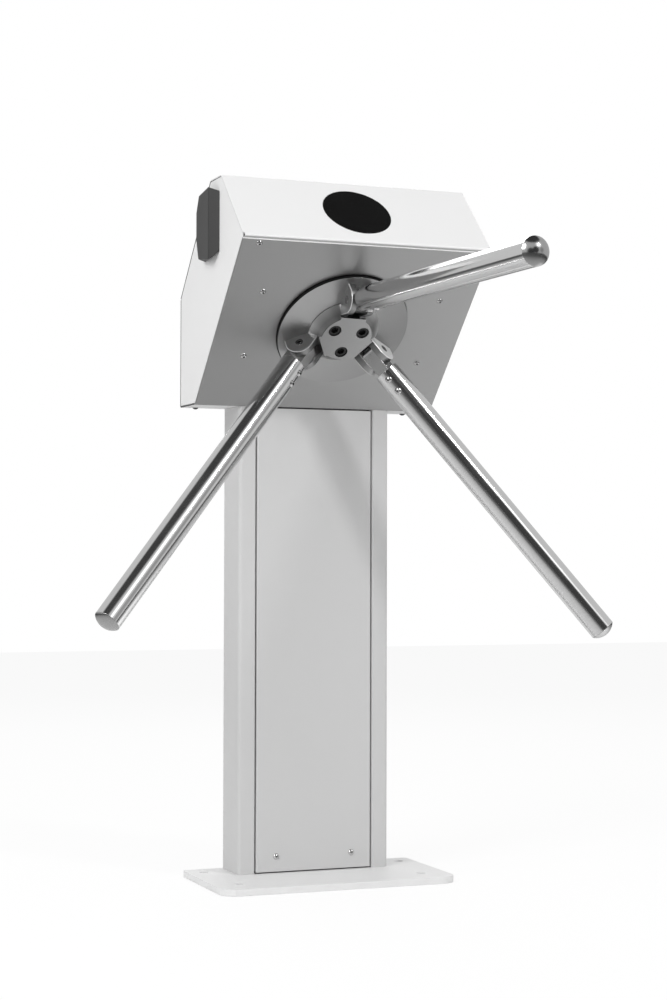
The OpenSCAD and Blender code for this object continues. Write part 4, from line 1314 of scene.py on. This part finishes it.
    def screws(self) -> None:
        """Makes the three socket screws and the three hinge pins."""
        seat = self.screw_seat
        screw = Workpiece.rod("cap_screw", self.screw_head, seat, seat + 12, 64)
        screw.cut(Workpiece.rod("socket", self.screw_socket, seat + 6, seat + 20, 6))
        screw.soften(0.6, 3, 50)
        screw.join(Workpiece.rod("shank", self.screw_shank, -18, seat, 32))
        screws = copies(screw, [HEAD.face @ self.bolt(third) for third in range(3)])
        screws.deliver("hub_socket_screws", "rotor", "black_screws", BLACK_SCREW, ["hub_cap_screws"])
        end = self.half_width
        pin = Workpiece.rod("pin", self.pin_radius - 0.03, -end, end, 48, "X")
        for side in Side:
            socket = Workpiece.rod("socket", self.pin_socket, end - 4, end + 10, 6, "X")
            pin.cut(socket.move(Matrix.Scale(side.value, 4, (1, 0, 0))))
        pin.outwards().soften(0.35, 2, 50)
        # Painted shade in the pin's sockets.
        pin.mark(lambda spot, normal: 0.6 if spot.yz.length < self.pin_socket - 0.1 else 0.0)
        pins = copies(pin, [HEAD.face @ self.pin(third) for third in range(3)])
        pins.deliver("clevis_hinge_pins", "rotor", "bright_screws", SCREW, ["clevis_pins"])

    def build(self) -> None:
        """Builds the rotor's visible pieces."""
        self.disc()
        self.hub()
        self.screws()


@dataclass
class Arm:
    """One arm: knuckle, tube, domed cap and two screws, drawn along Z from its pin."""

    place: ArmPlace
    rotor: Rotor = field(default_factory=Rotor)
    radius: float = 19.0
    wall: float = 2.0
    start: float = 27.5
    length: float = 540.0
    dome: float = 9.0
    tongue: float = 16.5
    tongue_width: float = 19.4
    screw_at: tuple[float, float] = (40.5, 62.5)
    seat: float = 0.6
    seat_radius: float = 5.5

    @property
    def matrix(self) -> Matrix:
        """Placement of the arm at rest."""
        tilt = Matrix.Rotation(math.radians(-45), 4, "X")
        return HEAD.face @ self.rotor.pin(self.place.value) @ tilt

    def send(self, piece: Workpiece, part: str, slot: str, finish: Finish) -> None:
        """Places a piece of this arm and finishes it.

        Args:
            piece: The piece, along Z.
            part: The node's last word.
            slot: Its material slot.
            finish: Its finish.
        """
        name = f"arm_{self.place.name.lower()}"
        piece.move(self.matrix)
        piece.deliver(f"{name}_{part}_finished", name, slot, finish, [f"{name}_{part}"])

    def build(self) -> None:
        """Builds the arm."""
        w, t = self.tongue_width / 2, self.tongue
        plug = self.radius - self.wall - 0.05
        knuckle = Workpiece.box("knuckle", (-w, -t, -t), (w, t, self.start + 1))
        knuckle.round_edges(lambda c: c.z < -t + 0.01 and abs(abs(c.y) - t) < 0.01, t - 0.02, 16)
        knuckle.soften(0.5, 3, 50)
        knuckle.join(Workpiece.rod("plug", plug, self.start + 0.5, self.start + 58, 48))
        self.send(knuckle, "knuckle", "rotor_steel", KNUCKLE)

        end = self.length - self.dome
        tube = Workpiece.rod("tube", self.radius, self.start, end, 128)
        tube.cut(Workpiece.rod("bore", self.radius - self.wall, self.start - 5, self.start + 60, 64))
        tube.soften(0.4, 3, 50)
        for s in self.screw_at:
            spot = Workpiece.rod("spot", self.seat_radius, -self.radius - 5, self.seat - self.radius, 40, "Y")
            tube.cut(spot.move(shift(0, 0, s)))
        self.send(tube, "tube", "polished_steel", TUBE)

        cap = Workpiece.dome("cap", self.radius, self.dome, end + 0.15, 128)
        cap.soften(0.5, 3, 50)
        cap.join(Workpiece.rod("plug", plug, end - 14, end + 0.3, 48))
        self.send(cap, "cap", "polished_steel", CAP)

        inward = Matrix.Rotation(math.radians(90), 4, "X")
        places = [shift(0, self.seat - self.radius, s) @ inward for s in self.screw_at]
        self.send(M6_BUTTON.group(places), "screws", "bright_screws", SCREW)


@dataclass
class Mechanism:
    """The pieces inside the head and the column, each with its own finish."""

    finishes: tuple[tuple[str, Finish, tuple[str, ...]], ...] = (
        ("primer_steel", PRIMER, (
            "column_top_plate", "column_cross_bars", "mechanism_frame_left", "mechanism_frame_right",
            "mechanism_plate",
        )),
        ("mechanism_steel", ZINC, (
            "head_bolts", "mechanism_bolts", "centring_spring", "shaft_key", "drive_gear", "index_disc",
            "shaft_nut", "locking_pawl_left", "locking_pawl_right",
        )),
        ("bearing_steel", GROUND, (
            "mechanism_pins", "front_bearing", "rear_bearing", "main_shaft", "plunger_left", "plunger_right",
        )),
        ("cast_housing", CAST, ("bearing_housing", "damper")),
        ("coil_case", COIL, ("solenoid_left", "solenoid_right")),
        ("gear_brass", BRASS, ("centring_gear",)),
        ("board_green", BOARD, ("control_board",)),
        ("black_plastic", PARTS, ("board_parts",)),
        ("white_paint", WHITE, ("front_frame",)),
    )

    def build(self) -> None:
        """Makes each inner piece whole and gives it its finish."""
        bodies = frame["record"]["behaviour"]["bodies"]
        for slot, finish, nodes in self.finishes:
            for node in nodes:
                body = next(name for name, members in bodies.items() if node in members)
                Workpiece.from_node(node).deliver(f"{node}_finished", body, slot, finish, [node])


@dataclass(frozen=True)
class Pool:
    """A round patch of the surround or the floor, in a tone of its own that only reflections show; on the
    floor it is a painted pool of light.
    """

    centre: tuple[float, float, float]
    inner: float
    outer: float
    tone: float

    @classmethod
    def towards(cls, azimuth: float, elevation: float, inner: float, outer: float, tone: float) -> "Pool":
        """A patch of the surround, by its direction.

        Args:
            azimuth: Degrees from +Y towards +X.
            elevation: Degrees above the horizon.
            inner: Angle from its middle at which it starts to fade.
            outer: Angle at which it has faded.
            tone: Its tone.

        Returns:
            The patch, its middle on the unit sphere and turned round, as rays come in.
        """
        across, up = math.radians(azimuth), math.radians(elevation)
        centre = (-math.cos(up) * math.sin(across), -math.cos(up) * math.cos(across), -math.sin(up))
        chords = [2 * math.sin(math.radians(angle) / 2) for angle in (inner, outer)]
        return cls(centre, *chords, tone)

    def over(self, tree: bpy.types.NodeTree, place: bpy.types.NodeSocket, level: Wire | float) -> Wire:
        """Lays the patch over a level.

        Args:
            tree: The shader's tree.
            place: Position or incoming direction.
            level: What is there already.

        Returns:
            The level with the patch on it.
        """
        gap = tree.nodes.new("ShaderNodeVectorMath")
        gap.operation = "DISTANCE"
        gap.inputs[1].default_value = self.centre
        tree.links.new(place, gap.inputs[0])
        share = 1 - Wire(tree, gap.outputs["Value"]).smooth(self.inner, self.outer)
        return level + share * (self.tone - level)


@dataclass(frozen=True)
class Lamp:
    """A rectangular soft lamp: its place and aim, its width and height, and its power in watts."""

    name: str
    place: tuple[float, float, float]
    aim: tuple[float, float, float]
    size: tuple[float, float]
    power: float

    def build(self) -> None:
        """Hangs the lamp."""
        data = bpy.data.lights.new(self.name, "AREA")
        data.shape, data.energy = "RECTANGLE", self.power
        data.size, data.size_y = self.size
        lamp = bpy.data.objects.new(self.name, data)
        lamp.location = self.place
        aim = Vector(self.aim) - lamp.location
        lamp.rotation_euler = aim.to_track_quat("-Z", "Y").to_euler()
        bpy.context.scene.collection.objects.link(lamp)


@dataclass
class Studio:
    """The pale room, its lamps and the camera of the photograph, in metres and degrees."""

    eye: tuple[float, float, float] = (-1.10510, -2.92594, 0.49252)
    yaw: float = 21.47
    pitch: float = 1.52
    roll: float = 0.14
    focal: float = 72.81
    world_level: float = 0.54
    mirror_level: float = 0.62
    surround: tuple[Pool, ...] = (
        Pool.towards(-160, 0, 17, 24, 0.05),
        Pool.towards(170, 10, 15, 21, 0.05),
        Pool.towards(150, 82, 29, 36, 0.05),
        Pool.towards(152, 36, 7, 12, 1.5),
        Pool.towards(132, 10, 9, 15, 0.35),
    )
    # Painted pools of light on the floor, seen only in reflections.
    ground: tuple[Pool, ...] = (
        Pool((0.3, 0.8, 0.0), 0.9, 3.2, 0.80),
        Pool((0.80, -0.35, 0.0), 0.15, 0.7, 1.3),
    )
    floor_tone: float = 0.86
    # The floor's tone in reflections, much darker than its own: painted shade.
    floor_mirror: float = 0.10
    floor_share: float = 0.86
    floor_glow: float = 1.02
    lamps: tuple[Lamp, ...] = (
        Lamp("key", (-3.0, -1.9, 2.6), (0, -0.1, 0.7), (1.6, 1.6), 74),
        Lamp("fill", (1.5, -2.7, 2.7), (0, -0.1, 0.6), (0.45, 0.45), 36),
        Lamp("back", (0.6, 2.6, 2.4), (0, 0, 0.8), (2.0, 1.2), 20),
    )

    def camera(self) -> None:
        """Sets up the camera from the fit to the photograph."""
        yaw, pitch, roll = (math.radians(v) for v in (self.yaw, self.pitch, self.roll))
        data = bpy.data.cameras.new("camera")
        data.lens, data.sensor_width = self.focal, 36.0
        data.clip_start, data.clip_end = 0.05, 60
        eye = bpy.data.objects.new("camera", data)
        upright = Matrix.Rotation(-yaw, 4, "Z") @ Matrix.Rotation(math.pi / 2 + pitch, 4, "X")
        eye.matrix_world = Matrix.Translation(self.eye) @ upright @ Matrix.Rotation(roll, 4, "Z")
        bpy.context.scene.collection.objects.link(eye)
        bpy.context.scene.camera = eye

    def world(self) -> None:
        """An even pale surround that reads as white behind the object."""
        world = bpy.data.worlds.new("surround")
        bpy.context.scene.world = world
        world.use_nodes = True
        tree = world.node_tree
        path = tree.nodes.new("ShaderNodeLightPath")
        incoming = tree.nodes.new("ShaderNodeNewGeometry").outputs["Incoming"]
        mirrored: Wire | float = self.mirror_level
        for pool in self.surround:
            mirrored = pool.over(tree, incoming, mirrored)
        level = self.world_level + (mirrored - self.world_level) * Wire(tree, path.outputs["Is Glossy Ray"])
        level = level + (1.0 - level) * Wire(tree, path.outputs["Is Camera Ray"])
        back = tree.nodes["Background"]
        back.inputs["Color"].default_value = (1, 1, 1, 1)
        tree.links.new(level.socket, back.inputs["Strength"])

    def floor(self) -> None:
        """A pale floor that keeps only the object's soft shadow; in reflections it is painted dark, with
        pools of painted light.
        """
        Workpiece.clear()
        bpy.ops.mesh.primitive_plane_add(size=14, location=(0, 0, -0.0005))
        floor = bpy.context.object
        floor.name = "studio_floor"
        p = Palette("studio_floor_paint")
        path = p.tree.nodes.new("ShaderNodeLightPath")
        mirrored: Wire | float = self.floor_mirror
        for pool in self.ground:
            mirrored = pool.over(p.tree, p.place.socket, mirrored)
        tone = self.floor_tone + (mirrored - self.floor_tone) * Wire(p.tree, path.outputs["Is Glossy Ray"])
        p.finish(Base_Color=p.grey(tone), Roughness=0.9)
        share = Wire(p.tree, path.outputs["Is Camera Ray"]) * self.floor_share
        glow = p.tree.nodes.new("ShaderNodeEmission")
        glow.inputs["Strength"].default_value = self.floor_glow
        mix = p.tree.nodes.new("ShaderNodeMixShader")
        out = p.tree.nodes["Material Output"]
        p.tree.links.new(share.socket, mix.inputs[0])
        p.tree.links.new(p.shader.outputs[0], mix.inputs[1])
        p.tree.links.new(glow.outputs[0], mix.inputs[2])
        p.tree.links.new(mix.outputs[0], out.inputs["Surface"])
        floor.data.materials.append(p.material)

    def build(self) -> None:
        """Builds the studio."""
        scene = bpy.context.scene
        scene.view_settings.view_transform = "Standard"
        self.camera()
        self.world()
        self.floor()
        for lamp in self.lamps:
            lamp.build()


def main() -> None:
    """Builds every piece of the scene in order."""
    logging.basicConfig(level=logging.INFO, format="%(message)s")
    Studio().build()
    Pedestal().build()
    Housing().build()
    Rotor().build()
    for place in ArmPlace:
        Arm(place).build()
    Mechanism().build()


if __name__ == "__main__":
    main()
